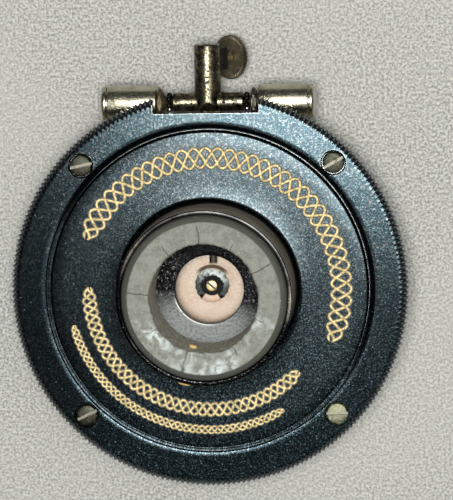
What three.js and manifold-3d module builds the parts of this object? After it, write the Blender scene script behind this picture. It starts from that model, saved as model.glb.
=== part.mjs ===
// A gramophone sound box: the head that a tone arm carries, which turns the wobble of a needle into sound.
// It lies on its front face, as it does on a bench, with its back and the rubber socket for the tone arm
// upwards. Units are millimetres and +Z is up. Every piece is drawn about the axis of the round case, and the
// whole group is then moved along Y, so that the origin is the middle of the footprint on the bench.
import * as THREE from "three";
import { mergeVertices } from "three/addons/utils/BufferGeometryUtils.js";
import Module from "manifold-3d";

const wasm = await Module();
wasm.setup();

// Driving dimensions
const caseRadius = 30; // tips of the knurl on the back ring
const caseWallRadius = 29;
const openingRadius = 20.4; // front opening before the mica
const lipThickness = 3.6; // front lip that the front gasket lies on
const gasketThickness = 2.6;
const micaThickness = 0.25;
const flangeThickness = 1.15; // flange of the back plate, held down by the back ring
const ringThickness = 2.2;
const knurlTeeth = 240;
const screwCircleRadius = 26.84;
const bushFaceHeight = 10.6; // rubber face above the back ring
const boreRadius = 8.05; // socket for the tone arm
const throatRadius = 5.2;
const notchHalfWidth = 8;
const pivotY = 27.95; // rocking axis of the stylus bar, from the case axis
const pivotZ = 6.8;
const chuckEndY = 36.7;
const chuckRadius = 2.02;
const crossBarRadius = 1.4;
const needleRadius = 0.8; // hole for the steel needle
const needleScrewY = 34.45;
const needleScrewLean = 38; // degrees from straight down towards the right
const needleScrewHeadRadius = 3.35;
const barrelRadius = 2.58;
const fitGap = 0.1; // radial gap between a round piece and its hole
const swingGap = 0.22; // room for the mica between its gaskets

// Heights worked out from the stack of pieces
const micaZ = lipThickness + gasketThickness;
const micaTopZ = micaZ + micaThickness;
const plateZ = micaTopZ + gasketThickness;
const ringSeatZ = plateZ + flangeThickness;
const backZ = ringSeatZ + ringThickness;
const bushFaceZ = backZ + bushFaceHeight;
const cupTopZ = bushFaceZ - 0.65;
const cupFloorZ = backZ - 0.5;
const footprintMiddleY = (needleScrewY + needleScrewHeadRadius - caseRadius) / 2;

// Radii that neighbouring pieces share
const gasketSeatRadius = 24.3;
const flangeRadius = 25.3;
const ringBoreRadius = 24.67;
const plateRadius = ringBoreRadius - 0.6;
const cupRadius = 13.1; // outside of the cup that holds the rubber bush
const cupBore = 12.4;
const notchY = 26.6;
const caseNotchY = 25.2; // the case is cut back further, to clear the lock nuts
const roundSteps = 48; // facets round the case
const rodSteps = 20; // facets round the pivots and their caps

// Materials
function finish(color, roughness, metalness) {
  return new THREE.MeshStandardMaterial({ color, roughness, metalness });
}

const blued = finish(0x1b2a38, 0.35, 0.9);
const nickel = finish(0xa8a48c, 0.3, 1.0);
const darkSteel = finish(0x3a3a36, 0.35, 1.0);
const wornSteel = finish(0x8c8778, 0.45, 1.0);
const rustySteel = finish(0x6f5a44, 0.6, 0.8);
const brass = finish(0xc9a85a, 0.35, 1.0);
const agedRubber = finish(0x6e6e60, 0.85, 0.0);
const gasketRubber = finish(0xa89a82, 0.8, 0.0);
const mica = finish(0xd9ab8a, 0.2, 0.0);
mica.transparent = true;
mica.opacity = 0.6;
const fibre = finish(0x16150f, 0.7, 0.0);
const wax = finish(0x8f948c, 0.6, 0.0);

// Turning a three.js geometry into a manifold solid, and back
function solid(geometry) {
  const bare = geometry.clone();
  bare.deleteAttribute("normal");
  bare.deleteAttribute("uv");
  const merged = mergeVertices(bare, 1e-4);
  const mesh = new wasm.Mesh({
    numProp: 3,
    vertProperties: new Float32Array(merged.attributes.position.array),
    triVerts: new Uint32Array(merged.index.array),
  });
  return new wasm.Manifold(mesh);
}

function geometryOf(manifold) {
  const mesh = manifold.getMesh();
  const geometry = new THREE.BufferGeometry();
  geometry.setAttribute("position", new THREE.BufferAttribute(new Float32Array(mesh.vertProperties), 3));
  geometry.setIndex(new THREE.BufferAttribute(new Uint32Array(mesh.triVerts), 1));
  geometry.computeVertexNormals();
  return geometry;
}

// Shapes that every piece is made from
const point = (x, y) => new THREE.Vector2(x, y);

function arc(centreX, centreY, radius, fromDegrees, toDegrees, steps) {
  return Array.from({ length: steps + 1 }, (_, i) => {
    const angle = THREE.MathUtils.degToRad(fromDegrees + ((toDegrees - fromDegrees) * i) / steps);
    return point(centreX + radius * Math.cos(angle), centreY + radius * Math.sin(angle));
  });
}

// A profile of (radius, height) points, counter-clockwise, turned about Z. One off the axis is closed.
function turned(profile, segments) {
  const onAxis = profile[0].x === 0;
  const closed = onAxis ? profile : [...profile, profile[0]];
  return solid(new THREE.LatheGeometry(closed, segments).rotateX(Math.PI / 2));
}

function rod(radius, fromZ, toZ, segments = 24) {
  return turned([point(0, fromZ), point(radius, fromZ), point(radius, toZ), point(0, toZ)], segments);
}

// A turned shape with its axis laid along the chuck, or along the pivot axis on one side (-1 left, 1 right)
const alongY = (made) => made.rotate([-90, 0, 0]).translate([0, 0, pivotZ]);
const alongX = (made, side) => made.rotate([0, 90 * side, 0]);
const atPivot = (made) => made.translate([0, pivotY, pivotZ]);

function block(fromX, toX, fromY, toY, fromZ, toZ) {
  const box = new THREE.BoxGeometry(toX - fromX, toY - fromY, toZ - fromZ);
  return solid(box.translate((fromX + toX) / 2, (fromY + toY) / 2, (fromZ + toZ) / 2));
}

// An outline in the plane across X, given as (y, z) points, swept from one x to another.
function sweptAlongX(outline, fromX, toX) {
  const swept = { depth: toX - fromX, bevelEnabled: false };
  const geometry = new THREE.ExtrudeGeometry(new THREE.Shape(outline), swept);
  geometry.translate(0, 0, fromX);
  const axisToX = new THREE.Matrix4().set(0, 0, 1, 0, 1, 0, 0, 0, 0, 1, 0, 0, 0, 0, 0, 1);
  return solid(geometry.applyMatrix4(axisToX));
}

// A disc whose edge is a ring of V-shaped teeth. Each level gives a height, and the radii of tip and valley.
function knurledDisc(levels, teeth) {
  const positions = [];
  const index = [];
  const around = 2 * teeth;
  levels.forEach(({ z, tip, valley }) => {
    for (let i = 0; i < around; i++) {
      const angle = (2 * Math.PI * i) / around;
      const radius = i % 2 ? valley : tip;
      positions.push(radius * Math.cos(angle), radius * Math.sin(angle), z);
    }
  });
  const lowCentre = positions.length / 3;
  positions.push(0, 0, levels[0].z, 0, 0, levels[levels.length - 1].z);
  const highCentre = lowCentre + 1;
  const top = (levels.length - 1) * around;
  for (let i = 0; i < around; i++) {
    const next = (i + 1) % around;
    for (let base = 0; base < top; base += around) {
      const above = base + around;
      index.push(base + i, base + next, above + next, base + i, above + next, above + i);
    }
    index.push(lowCentre, next, i, highCentre, top + i, top + next);
  }
  const geometry = new THREE.BufferGeometry();
  geometry.setAttribute("position", new THREE.Float32BufferAttribute(positions, 3));
  geometry.setIndex(index);
  return solid(geometry);
}

const onScrewCircle = (number) => {
  const angle = Math.PI / 4 + (number * Math.PI) / 2;
  return [screwCircleRadius * Math.cos(angle), screwCircleRadius * Math.sin(angle), 0];
};

// Case
const screwShankRadius = 0.85;
const screwHeadRadius = 1.62;
const screwHeadSeatZ = backZ - 1.3;
const screwTipZ = ringSeatZ - 4.2;
const barrelStartX = 7.75;
const barrelEndX = 15.2;
const armSlotHalfWidth = 2;
const armSlotTopZ = 3;

const lipRound = 1.7; // round on the rim of the front opening
const heelRound = 2.4; // round on the outer front corner of the case
const saddleBackY = 24.8; // inside the case wall
const saddleFootY = 28.7;
const saddleFrontY = 30.3;
const saddleFootZ = 2.6;
const saddleFrontZ = 4.3;
const saddleTopZ = 5.2;
const saddleStartX = 8.3;
const saddleEndX = 13.4;
const armSlotEndY = 32; // clear of the case wall
const aboveAll = 40; // a height or length that clears every piece

function frontCase() {
  const wall = turned([
    point(openingRadius, lipThickness),
    ...arc(openingRadius + lipRound, lipRound, lipRound, 180, 270, 3),
    ...arc(caseWallRadius - heelRound, heelRound, heelRound, -90, 0, 3),
    point(caseWallRadius, ringSeatZ),
    point(flangeRadius + 0.2, ringSeatZ),
    point(flangeRadius + 0.2, plateZ),
    point(gasketSeatRadius, plateZ),
    point(gasketSeatRadius, lipThickness),
  ], roundSteps);
  // Each barrel lies in a saddle that stands out of the case wall
  const saddle = [
    point(saddleBackY, saddleFootZ),
    point(saddleFootY, saddleFootZ),
    point(saddleFrontY, saddleFrontZ),
    point(saddleFrontY, saddleTopZ),
    point(saddleBackY, saddleTopZ),
  ];
  let made = wall;
  for (const [fromX, toX] of [[saddleStartX, saddleEndX], [-saddleEndX, -saddleStartX]]) {
    made = made.add(sweptAlongX(saddle, fromX, toX));
  }
  for (const side of [-1, 1]) {
    const seat = rod(barrelRadius + fitGap, barrelStartX - 0.3, barrelEndX + 2, rodSteps);
    made = made.subtract(atPivot(alongX(seat, side)));
  }
  const cutHalfWidth = notchHalfWidth + 0.3;
  made = made.subtract(block(-cutHalfWidth, cutHalfWidth, caseNotchY, aboveAll, -1, backZ));
  const slotHalfWidth = armSlotHalfWidth;
  made = made.subtract(block(-slotHalfWidth, slotHalfWidth, openingRadius - 2, armSlotEndY, -1, armSlotTopZ));
  for (let number = 0; number < 4; number++) {
    const tapped = rod(screwShankRadius + fitGap, screwTipZ - 0.4, backZ, 12);
    made = made.subtract(tapped.translate(onScrewCircle(number)));
  }
  return made;
}

const knurlDepth = 0.36;
const ringBevel = 0.75;
const screwSteps = 12;

function backRing() {
  const edge = [
    { z: ringSeatZ, tip: caseRadius, valley: caseRadius - knurlDepth },
    { z: backZ - ringBevel, tip: caseRadius, valley: caseRadius - knurlDepth },
    { z: backZ, tip: caseRadius - ringBevel, valley: caseRadius - ringBevel - knurlDepth / 2 },
  ];
  let made = knurledDisc(edge, knurlTeeth).subtract(rod(ringBoreRadius, 0, aboveAll, roundSteps));
  made = made.subtract(block(-notchHalfWidth, notchHalfWidth, notchY, aboveAll, 0, aboveAll));
  const sinkRadius = screwHeadRadius + fitGap;
  const countersink = turned([
    point(0, backZ - 0.2),
    point(sinkRadius, backZ - 0.2),
    point(sinkRadius + 0.4, backZ + 0.2),
    point(0, backZ + 0.2),
  ], screwSteps);
  const shankHole = rod(screwShankRadius + fitGap, 0, aboveAll, screwSteps);
  const hole = shankHole.add(rod(sinkRadius, screwHeadSeatZ, aboveAll, screwSteps)).add(countersink);
  for (let number = 0; number < 4; number++) {
    made = made.subtract(hole.translate(onScrewCircle(number)));
  }
  return made;
}

function caseScrew(number, slotDegrees) {
  const headTop = backZ - 0.1;
  const body = turned([
    point(0, screwTipZ),
    point(screwShankRadius - 0.25, screwTipZ),
    point(screwShankRadius, screwTipZ + 0.3),
    point(screwShankRadius, screwHeadSeatZ),
    point(screwHeadRadius, screwHeadSeatZ),
    point(screwHeadRadius, headTop - 0.25),
    point(screwHeadRadius - 0.4, headTop),
    point(0, headTop + 0.05),
  ], screwSteps);
  const slot = block(-3, 3, -0.22, 0.22, headTop - 0.5, headTop + 1);
  return body.subtract(slot.rotate([0, 0, slotDegrees])).translate(onScrewCircle(number));
}

// Back plate with its cup, and the bush and pin that hold the tone arm
const pinBearing = 255.3; // degrees round the case from +X
const pinZ = backZ + 6.5;
const pinRadius = 0.62;

const alongPin = (made) => made.rotate([0, 90, 0]).rotate([0, 0, pinBearing]).translate([0, 0, pinZ]);

const plateFaceZ = backZ - 0.1;
const cupFillet = 1.1;
const flangeStep = 0.02; // the flange's top lies this much under the ring

function backPlate() {
  const outline = [
    point(throatRadius, plateZ + 0.7),
    point(throatRadius + 0.7, plateZ),
    point(flangeRadius, plateZ),
    point(flangeRadius, ringSeatZ - flangeStep),
    point(plateRadius, ringSeatZ - flangeStep),
    ...arc(plateRadius - 0.4, plateFaceZ - 0.4, 0.4, 0, 90, 1),
    ...arc(cupRadius + cupFillet, plateFaceZ + cupFillet, cupFillet, -90, -180, 3),
    ...arc(cupRadius - 0.2, cupTopZ - 0.2, 0.2, 0, 90, 1),
    point(cupBore, cupTopZ),
    point(cupBore, cupFloorZ),
    point(throatRadius, cupFloorZ),
  ];
  return turned(outline, roundSteps).subtract(alongPin(rod(pinRadius + fitGap, 10, 20, 12)));
}

const bushSteps = 40;
const bushShoulderRadius = 11.3; // where the flat face ends

function toneArmBush() {
  const outline = [
    point(boreRadius, cupFloorZ),
    point(cupBore - fitGap, cupFloorZ),
    point(cupBore - fitGap, cupTopZ - 0.1),
    point(bushShoulderRadius + 0.2, bushFaceZ - 0.06),
    point(bushShoulderRadius, bushFaceZ),
    point(boreRadius + 0.3, bushFaceZ),
    point(boreRadius, bushFaceZ - 0.3),
  ];
  return turned(outline, bushSteps).subtract(alongPin(rod(pinRadius + fitGap, 6, 20, 12)));
}

function bayonetPin() {
  return alongPin(turned([
    point(0, boreRadius - 0.45),
    point(pinRadius - 0.1, boreRadius - 0.45),
    point(pinRadius, boreRadius - 0.35),
    point(pinRadius, cupRadius + 0.15),
    point(1, cupRadius + 0.15),
    point(0.95, cupRadius + 0.4),
    point(0.5, cupRadius + 0.65),
    point(0, cupRadius + 0.72),
  ], 16));
}

// Diaphragm between two gaskets of rubber tube, each cut to length with its ends butted
function gasket(middleZ) {
  const outer = (gasketThickness - swingGap) / 2;
  const inner = 0.6;
  const ringRadius = gasketSeatRadius - 0.2 - outer;
  const jointDegrees = 1.4;
  const section = new THREE.Shape(arc(0, 0, outer, 0, 315, 7));
  section.holes.push(new THREE.Path(arc(0, 0, inner, 0, 288, 4)));
  const geometry = new THREE.ExtrudeGeometry(section, { depth: 1, steps: 22, bevelEnabled: false });
  const start = THREE.MathUtils.degToRad(270 + jointDegrees / 2);
  const sweep = THREE.MathUtils.degToRad(360 - jointDegrees);
  const position = geometry.attributes.position;
  for (let i = 0; i < position.count; i++) {
    const angle = start + sweep * position.getZ(i);
    const radius = ringRadius - position.getX(i);
    position.setXYZ(i, radius * Math.cos(angle), radius * Math.sin(angle), middleZ + position.getY(i));
  }
  return solid(geometry);
}

const frontGasket = () => gasket(lipThickness + (gasketThickness - swingGap) / 2);
const rearGasket = () => gasket(plateZ - (gasketThickness - swingGap) / 2);

// Middle of the mica, from the arm upwards: front washer, mica, rear washer with wax round it, and the screw
const screwShaft = 0.5;
const shaftHole = screwShaft + fitGap;
const washerThickness = 0.3;
const padGap = 0.05; // between the arm and the front washer
const armPadZ = micaZ - washerThickness - padGap;

function micaDiaphragm() {
  return rod(gasketSeatRadius - 0.4, micaZ, micaTopZ, roundSteps).subtract(rod(shaftHole, 0, aboveAll, 12));
}

function washer(outerRadius, fromZ) {
  const ring = rod(outerRadius, fromZ, fromZ + washerThickness, rodSteps);
  return ring.subtract(rod(shaftHole, 0, aboveAll, 12));
}

function waxSeal() {
  return turned([
    point(1.55, micaTopZ),
    point(2.6, micaTopZ),
    point(2.4, micaTopZ + 0.22),
    point(2, micaTopZ + 0.4),
    point(1.6, micaTopZ + 0.3),
  ], rodSteps);
}

function diaphragmScrew() {
  const headSeat = micaTopZ + washerThickness;
  const body = turned([
    point(0, armPadZ - 1.1),
    point(screwShaft, armPadZ - 1.1),
    point(screwShaft, headSeat),
    point(0.92, headSeat),
    point(0.92, headSeat + 0.35),
    point(0.7, headSeat + 0.55),
    point(0, headSeat + 0.6),
  ], 16);
  return body.subtract(block(-2, 2, -0.13, 0.13, headSeat + 0.25, headSeat + 2).rotate([0, 0, -40]));
}

// Pivots: in each barrel a cone-pointed screw, with its lock nut inside the notch and a domed cap outside
const pivotScrewRadius = 1.3;
const pivotBore = pivotScrewRadius + fitGap;
const coneTipX = 5.46;
const lockNutThickness = 0.9;

function pivotBarrel(side) {
  return atPivot(alongX(turned([
    point(pivotBore, barrelStartX),
    point(barrelRadius - 0.2, barrelStartX),
    point(barrelRadius, barrelStartX + 0.2),
    point(barrelRadius, barrelEndX - 0.1),
    point(barrelRadius - 0.1, barrelEndX),
    point(2.1, barrelEndX),
    point(2.1, barrelEndX - 2.1),
    point(pivotBore, barrelEndX - 2.1),
  ], rodSteps), side));
}

function pivotScrew(side) {
  const outerEndX = barrelEndX - 2.4;
  const body = turned([
    point(0, coneTipX),
    point(pivotScrewRadius - 0.1, coneTipX + pivotScrewRadius - 0.1),
    point(pivotScrewRadius, coneTipX + pivotScrewRadius + 0.1),
    point(pivotScrewRadius, outerEndX),
    point(0, outerEndX),
  ], 16);
  return atPivot(alongX(body.subtract(block(-0.2, 0.2, -3, 3, outerEndX - 0.5, outerEndX + 1)), side));
}

const lockNutRadius = 2.15; // over the corners
const lockNutCrown = 0.55;

function pivotLockNut(side, startX) {
  const hexagon = rod(lockNutRadius, startX, startX + lockNutThickness, 6);
  const crown = turned([
    point(0, startX),
    point(lockNutRadius - lockNutCrown, startX),
    point(lockNutRadius, startX + 0.35),
    point(lockNutRadius, startX + 0.55),
    point(lockNutRadius - lockNutCrown, startX + lockNutThickness),
    point(0, startX + lockNutThickness),
  ], 12);
  const threaded = rod(pivotBore, startX - 1, startX + 2, 16);
  return atPivot(alongX(hexagon.intersect(crown).subtract(threaded), side));
}

function pivotCap(side) {
  const rimX = barrelEndX + 0.12;
  const body = turned([
    point(0, barrelEndX - 1.6),
    point(2, barrelEndX - 1.6),
    point(2, rimX),
    point(barrelRadius - 0.15, rimX),
    point(barrelRadius, rimX + 0.15),
    point(barrelRadius - 0.1, rimX + 0.4),
    point(1.9, rimX + 0.75),
    point(1, rimX + 1),
    point(0, rimX + 1.06),
  ], rodSteps);
  return atPivot(alongX(body, side));
}

const ballRadius = 0.42;
const ballPitchRadius = 1.1;
const ballX = 5.85;
const ballsPerSide = 7;

function pivotBall(side, number) {
  const angle = (2 * Math.PI * number) / ballsPerSide - Math.PI / 4;
  const ball = solid(new THREE.IcosahedronGeometry(ballRadius, 1));
  const [y, z] = [ballPitchRadius * Math.cos(angle), ballPitchRadius * Math.sin(angle)];
  return atPivot(ball.translate([side * ballX, y, z]));
}

// Stylus bar: chuck, cross bar with a ball cup in each end, and the cranked arm to the middle of the mica
const cupConeX = 4.04; // where the 45 degree cone of the cup would meet the axis
const crossBarEndX = cupConeX + crossBarRadius - 0.04;
const chuckStartY = pivotY - 1.15;
const needleHoleDepth = 7.5;
const footSlope = 30; // degrees
const bossHeight = 3; // along the needle screw, from the chuck's axis

const alongNeedleScrew = (made) =>
  made.rotate([0, 180 - needleScrewLean, 0]).translate([0, needleScrewY, pivotZ]);

const armThickness = 1.2;
const armPadThickness = 0.8;
const armFootEndY = 28.85;
const armBendY = 4.2; // where the crank up to the mica starts
const armPadRadius = 1.6;
const forkTipY = -2;
const forkTipX = 1.1; // inside of each prong at its tip

function stylusArm() {
  const runTopZ = armSlotTopZ - 0.4;
  const runZ = runTopZ - armThickness;
  const side = [
    point(armFootEndY, pivotZ),
    point(chuckStartY, pivotZ),
    point(chuckStartY, runTopZ),
    point(armBendY, runTopZ),
    point(armBendY - 1.8, armPadZ),
    point(forkTipY, armPadZ),
    point(forkTipY, armPadZ - armPadThickness),
    point(armBendY - 2.5, armPadZ - armPadThickness),
    point(armBendY - 0.7, runZ),
    point(armFootEndY - armThickness, runZ),
    point(armFootEndY, runZ + armThickness),
  ];
  // Half the outline seen from above, as (x, y). The arm tapers towards a fork, open away from the pivot
  const rightEdge = [
    point(forkTipX, forkTipY),
    point(armPadRadius, forkTipY),
    ...arc(0, 0, armPadRadius, -10, 70, 4),
    point(0.6, 2),
    point(0.5, armBendY),
    point(0.8, 19),
    point(1.5, 25),
    point(armPadRadius, armFootEndY + 0.1),
  ];
  const leftEdge = rightEdge.map(({ x, y }) => point(-x, y)).reverse();
  const plan = new THREE.Shape([...rightEdge, ...leftEdge, ...arc(0, 0, shaftHole, 180, 0, 6)]);
  const planSolid = solid(new THREE.ExtrudeGeometry(plan, { depth: pivotZ + 2, bevelEnabled: false }));
  return sweptAlongX(side, -2, 2).intersect(planSolid.translate([0, 0, -1]));
}

function crossBarHalf(side) {
  return atPivot(alongX(turned([
    point(0, 0),
    point(crossBarRadius, 0),
    point(crossBarRadius, crossBarEndX - 0.04),
    point(crossBarRadius - 0.04, crossBarEndX),
    point(0.5, cupConeX + 0.5),
    point(0, cupConeX + 0.5),
  ], rodSteps), side));
}

function stylusBar() {
  const chuck = turned([
    point(0, chuckStartY),
    point(chuckRadius, chuckStartY),
    point(chuckRadius, chuckEndY - 0.3),
    point(chuckRadius - 0.3, chuckEndY),
    point(0, chuckEndY),
  ], rodSteps);
  const needleHole = rod(needleRadius, chuckEndY - needleHoleDepth, chuckEndY + 1, 16);
  // The foot of the chuck slopes off towards the back
  const slope = block(-3, 3, -4, 0, 0, 3).rotate([footSlope, 0, 0]);
  const needleScrewBoss = alongNeedleScrew(block(-1.5, 1.5, -1.7, 1.7, 0, bossHeight));
  return alongY(chuck)
    .add(crossBarHalf(-1))
    .add(crossBarHalf(1))
    .subtract(slope.translate([0, pivotY, pivotZ + chuckRadius]))
    .add(stylusArm())
    .add(needleScrewBoss)
    .subtract(alongY(needleHole))
    .subtract(alongNeedleScrew(rod(needleScrewRadius + fitGap, 0, 6, 18)));
}

// Needle screw: a shank with a knurled head fixed on its end
const needleScrewRadius = 1;
const headZ = 4.77; // along the screw, from the chuck's axis
const headThickness = 0.9;
const spigotRadius = 0.7;
const headTeeth = 42;

function needleScrewShank() {
  return alongNeedleScrew(turned([
    point(0, 0.15),
    point(0.5, 0.15),
    point(needleScrewRadius, 0.65),
    point(needleScrewRadius, headZ - 0.05),
    point(spigotRadius, headZ - 0.05),
    point(spigotRadius, headZ + headThickness - 0.1),
    point(0, headZ + headThickness - 0.1),
  ], 16));
}

function needleScrewHead() {
  const tip = needleScrewHeadRadius;
  const edge = [
    { z: headZ, tip: tip - 0.25, valley: tip - 0.4 },
    { z: headZ + 0.2, tip, valley: tip - 0.25 },
    { z: headZ + headThickness - 0.2, tip, valley: tip - 0.25 },
    { z: headZ + headThickness, tip: tip - 0.25, valley: tip - 0.4 },
  ];
  return alongNeedleScrew(knurledDisc(edge, headTeeth).subtract(rod(spigotRadius + fitGap, 3, 7, 16)));
}

// Assembly
const soundBox = new THREE.Group();
soundBox.position.y = -footprintMiddleY;

function place(name, made, material) {
  const mesh = new THREE.Mesh(geometryOf(made), material);
  mesh.name = name;
  soundBox.add(mesh);
}

place("front_case", frontCase(), nickel);
place("back_ring", backRing(), blued);
place("back_plate", backPlate(), blued);
place("tone_arm_bush", toneArmBush(), agedRubber);
place("bayonet_pin", bayonetPin(), brass);
place("front_gasket", frontGasket(), gasketRubber);
place("rear_gasket", rearGasket(), gasketRubber);
const screwSlots = [29, 12, 25, 0]; // degrees, from the screw at the upper right, counter-clockwise
screwSlots.forEach((slotDegrees, number) => {
  place(`case_screw_${number + 1}`, caseScrew(number, slotDegrees), wornSteel);
});
place("mica_diaphragm", micaDiaphragm(), mica);
place("front_washer", washer(1.5, armPadZ + padGap), fibre);
place("rear_washer", washer(1.45, micaTopZ), fibre);
place("wax_seal", waxSeal(), wax);
place("diaphragm_screw", diaphragmScrew(), brass);
const pivots = [
  { name: "left", side: -1, lockNutX: 6.82 },
  { name: "right", side: 1, lockNutX: 6.5 },
];
pivots.forEach(({ name, side, lockNutX }) => {
  place(`pivot_barrel_${name}`, pivotBarrel(side), nickel);
  place(`pivot_screw_${name}`, pivotScrew(side), wornSteel);
  place(`pivot_lock_nut_${name}`, pivotLockNut(side, lockNutX), wornSteel);
  place(`pivot_cap_${name}`, pivotCap(side), nickel);
  for (let number = 0; number < ballsPerSide; number++) {
    place(`pivot_ball_${name}_${number + 1}`, pivotBall(side, number), wornSteel);
  }
});
place("stylus_bar", stylusBar(), darkSteel);
place("needle_screw_shank", needleScrewShank(), wornSteel);
place("needle_screw_head", needleScrewHead(), rustySteel);

export default soundBox;
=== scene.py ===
# %% [markdown]
# # Dressing a gramophone sound box
# A sound box is the head that a tone arm carries. A needle rocks a bar, the bar pushes a disc of mica,
# and the mica makes the sound. This one lies on its face, so its back shows: a blued ring with a
# knurled edge, a blued plate with a cup, and an old rubber bush that gripped the tone arm.
#
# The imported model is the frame. It is loaded first and never moved. Each piece below is drawn in
# millimetres about the axis of the round case and then set in the frame in metres.

# %% Loading the frame
import math

import bmesh
import bpy
import numpy as np
from mathutils import Matrix, Vector


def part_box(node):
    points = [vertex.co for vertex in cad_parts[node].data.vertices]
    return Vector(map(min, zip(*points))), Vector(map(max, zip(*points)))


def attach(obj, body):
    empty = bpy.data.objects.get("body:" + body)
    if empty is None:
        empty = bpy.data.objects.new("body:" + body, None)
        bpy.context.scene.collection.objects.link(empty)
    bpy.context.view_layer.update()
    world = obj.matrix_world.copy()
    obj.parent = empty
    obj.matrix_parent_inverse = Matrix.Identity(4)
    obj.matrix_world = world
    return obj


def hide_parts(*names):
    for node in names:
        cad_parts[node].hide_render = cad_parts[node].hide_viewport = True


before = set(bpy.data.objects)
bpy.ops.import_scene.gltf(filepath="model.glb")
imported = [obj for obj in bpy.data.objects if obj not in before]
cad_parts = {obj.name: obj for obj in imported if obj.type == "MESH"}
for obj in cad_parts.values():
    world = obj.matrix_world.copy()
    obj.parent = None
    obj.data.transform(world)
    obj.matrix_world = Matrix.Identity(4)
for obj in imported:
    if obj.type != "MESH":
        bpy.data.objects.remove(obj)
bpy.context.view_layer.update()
plate_low, plate_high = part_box("back_plate")
case_axis_y = (plate_low.y + plate_high.y) / 2
CASE_AXIS_MM = 1000 * case_axis_y
print("case axis at y =", round(case_axis_y, 5), "m")


def box_mm(node):
    """Lowest and highest corners of a CAD node in millimetres about the case axis."""
    low, high = (np.array(corner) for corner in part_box(node))
    shift = np.array([0, case_axis_y, 0])
    return (low - shift) * 1000, (high - shift) * 1000


# %% [markdown]
# ## Sizes
# Most sizes come from the boxes of the CAD nodes, so the dressed pieces fit the frame without any
# moving about. The few that a box can't give, such as a bore or the depth of a knurl, are written
# here once, in millimetres.

# %% Sizes from the frame
ring_low, ring_high = box_mm("back_ring")
bush_high = box_mm("tone_arm_bush")[1]
mica_low, mica_high = box_mm("mica_diaphragm")
barrel_low, barrel_high = box_mm("pivot_barrel_right")
BACK_Z = ring_high[2]
RING_SEAT_Z = ring_low[2]
CASE_RADIUS = ring_high[0]
BUSH_FACE_Z = bush_high[2]
BUSH_RADIUS = bush_high[0]
MICA_Z, MICA_TOP_Z = mica_low[2], mica_high[2]
MICA_RADIUS = mica_high[0]
PIVOT_Y = (barrel_low[1] + barrel_high[1]) / 2
PIVOT_Z = (barrel_low[2] + barrel_high[2]) / 2
BARREL_START, BARREL_END = barrel_low[0], barrel_high[0]
BARREL_RADIUS = (barrel_high[1] - barrel_low[1]) / 2
CHUCK_END_Y = box_mm("stylus_bar")[1][1]
print("back at", BACK_Z, "bush face at", BUSH_FACE_Z, "pivot axis at", PIVOT_Y, PIVOT_Z)

# %% Sizes in millimetres
RING_BORE = 24.67
PLATE_RADIUS = 24.07
FLANGE_RADIUS = 25.3
BEYOND = 40  # further out than the ring and the case reach
NOTCH_HALF_WIDTH = 8.0
NOTCH_Y = 26.6
KNURL_TEETH = 240
KNURL_DEPTH = 0.36
HEAD_TEETH = 52
RING_BEVEL = 0.75
SCREW_CIRCLE = 26.84
SCREW_HEAD_RADIUS = 1.62
CUP_RADIUS = 13.1
CUP_BORE = 12.4
BORE_RADIUS = 8.05
THROAT_RADIUS = 5.2
CHUCK_RADIUS = 2.02
NEEDLE_SCREW_Y = 34.45
CROSS_BAR_RADIUS = 1.4
PIVOT_BORE = 1.4
PLATE_Z = 9.05
PLATE_TOP_Z = BACK_Z - 0.1
CUP_TOP_Z = BUSH_FACE_Z - 0.65
CUP_FLOOR_Z = BACK_Z - 0.5
SCREW_TOP_Z = BACK_Z - 0.1
SLOT_FLOOR_Z = SCREW_TOP_Z - 0.5
HEAD_BOTTOM_Z = BACK_Z - 1.3
SINK_RADIUS = 1.72
TAPPED_RADIUS = 0.95
SLOT_HALF_WIDTH = 0.21
MIDDLE_HOLE_RADIUS = 0.6
WASHER_THICKNESS = 0.3
HEAD_SEAT_Z = MICA_TOP_Z + WASHER_THICKNESS
ARM_PAD_Z = MICA_Z - WASHER_THICKNESS - 0.05
print("plate at", PLATE_TOP_Z, "cup's rim at", CUP_TOP_Z, "arm's pad at", ARM_PAD_Z, "mm")

# %% [markdown]
# ## Camera
# The photograph was taken from nearly straight above, a little towards the upper right: the side
# walls of the cup and of the bore show how far. A long lens from about half a metre gives the same
# small growth of the rubber face against the ring.

# %% Camera
CAMERA_AT = (41.02, 63.20, 514.91)
CAMERA_RIGHT = Vector((0.99709, -0.01940, -0.07372))
CAMERA_UP = Vector((0.01091, 0.99344, -0.11384))
CAMERA_BACK = Vector((0.07544, 0.11271, 0.99076))
SENSOR_HEIGHT = 36.0
LENS = 243.13


def to_frame(points):
    """Points in millimetres about the case axis, as metres in the frame: scale, then shift along Y."""
    return np.asarray(points, float) / 1000 + np.array([0, case_axis_y, 0])


def in_scene(name, data):
    """An object that holds the data, linked to the scene."""
    made = bpy.data.objects.new(name, data)
    bpy.context.scene.collection.objects.link(made)
    return made


camera_data = bpy.data.cameras.new("camera")
camera_data.sensor_fit = "VERTICAL"
camera_data.sensor_height = SENSOR_HEIGHT
camera_data.lens = LENS
camera_data.clip_start = 0.01
camera = in_scene("camera", camera_data)
turn = Matrix((CAMERA_RIGHT, CAMERA_UP, CAMERA_BACK)).transposed()
camera.matrix_world = Matrix.Translation(to_frame(CAMERA_AT)) @ turn.to_4x4()
bpy.context.scene.camera = camera
print("camera at", CAMERA_AT, "mm, lens", LENS, "mm")

# %% [markdown]
# ## Surfaces
# Almost every piece here is turned, milled or drawn, so one idea makes them all: a profile carried
# along a path, worked out as a whole array of points. A profile turned about an axis gives a
# lathe shape; a radius that changes with the angle gives knurls, hexagons and wandering edges.
# The seam and the poles are closed by merging points that fall together, and the normals are then
# recalculated so that the faces point outwards.


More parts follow.
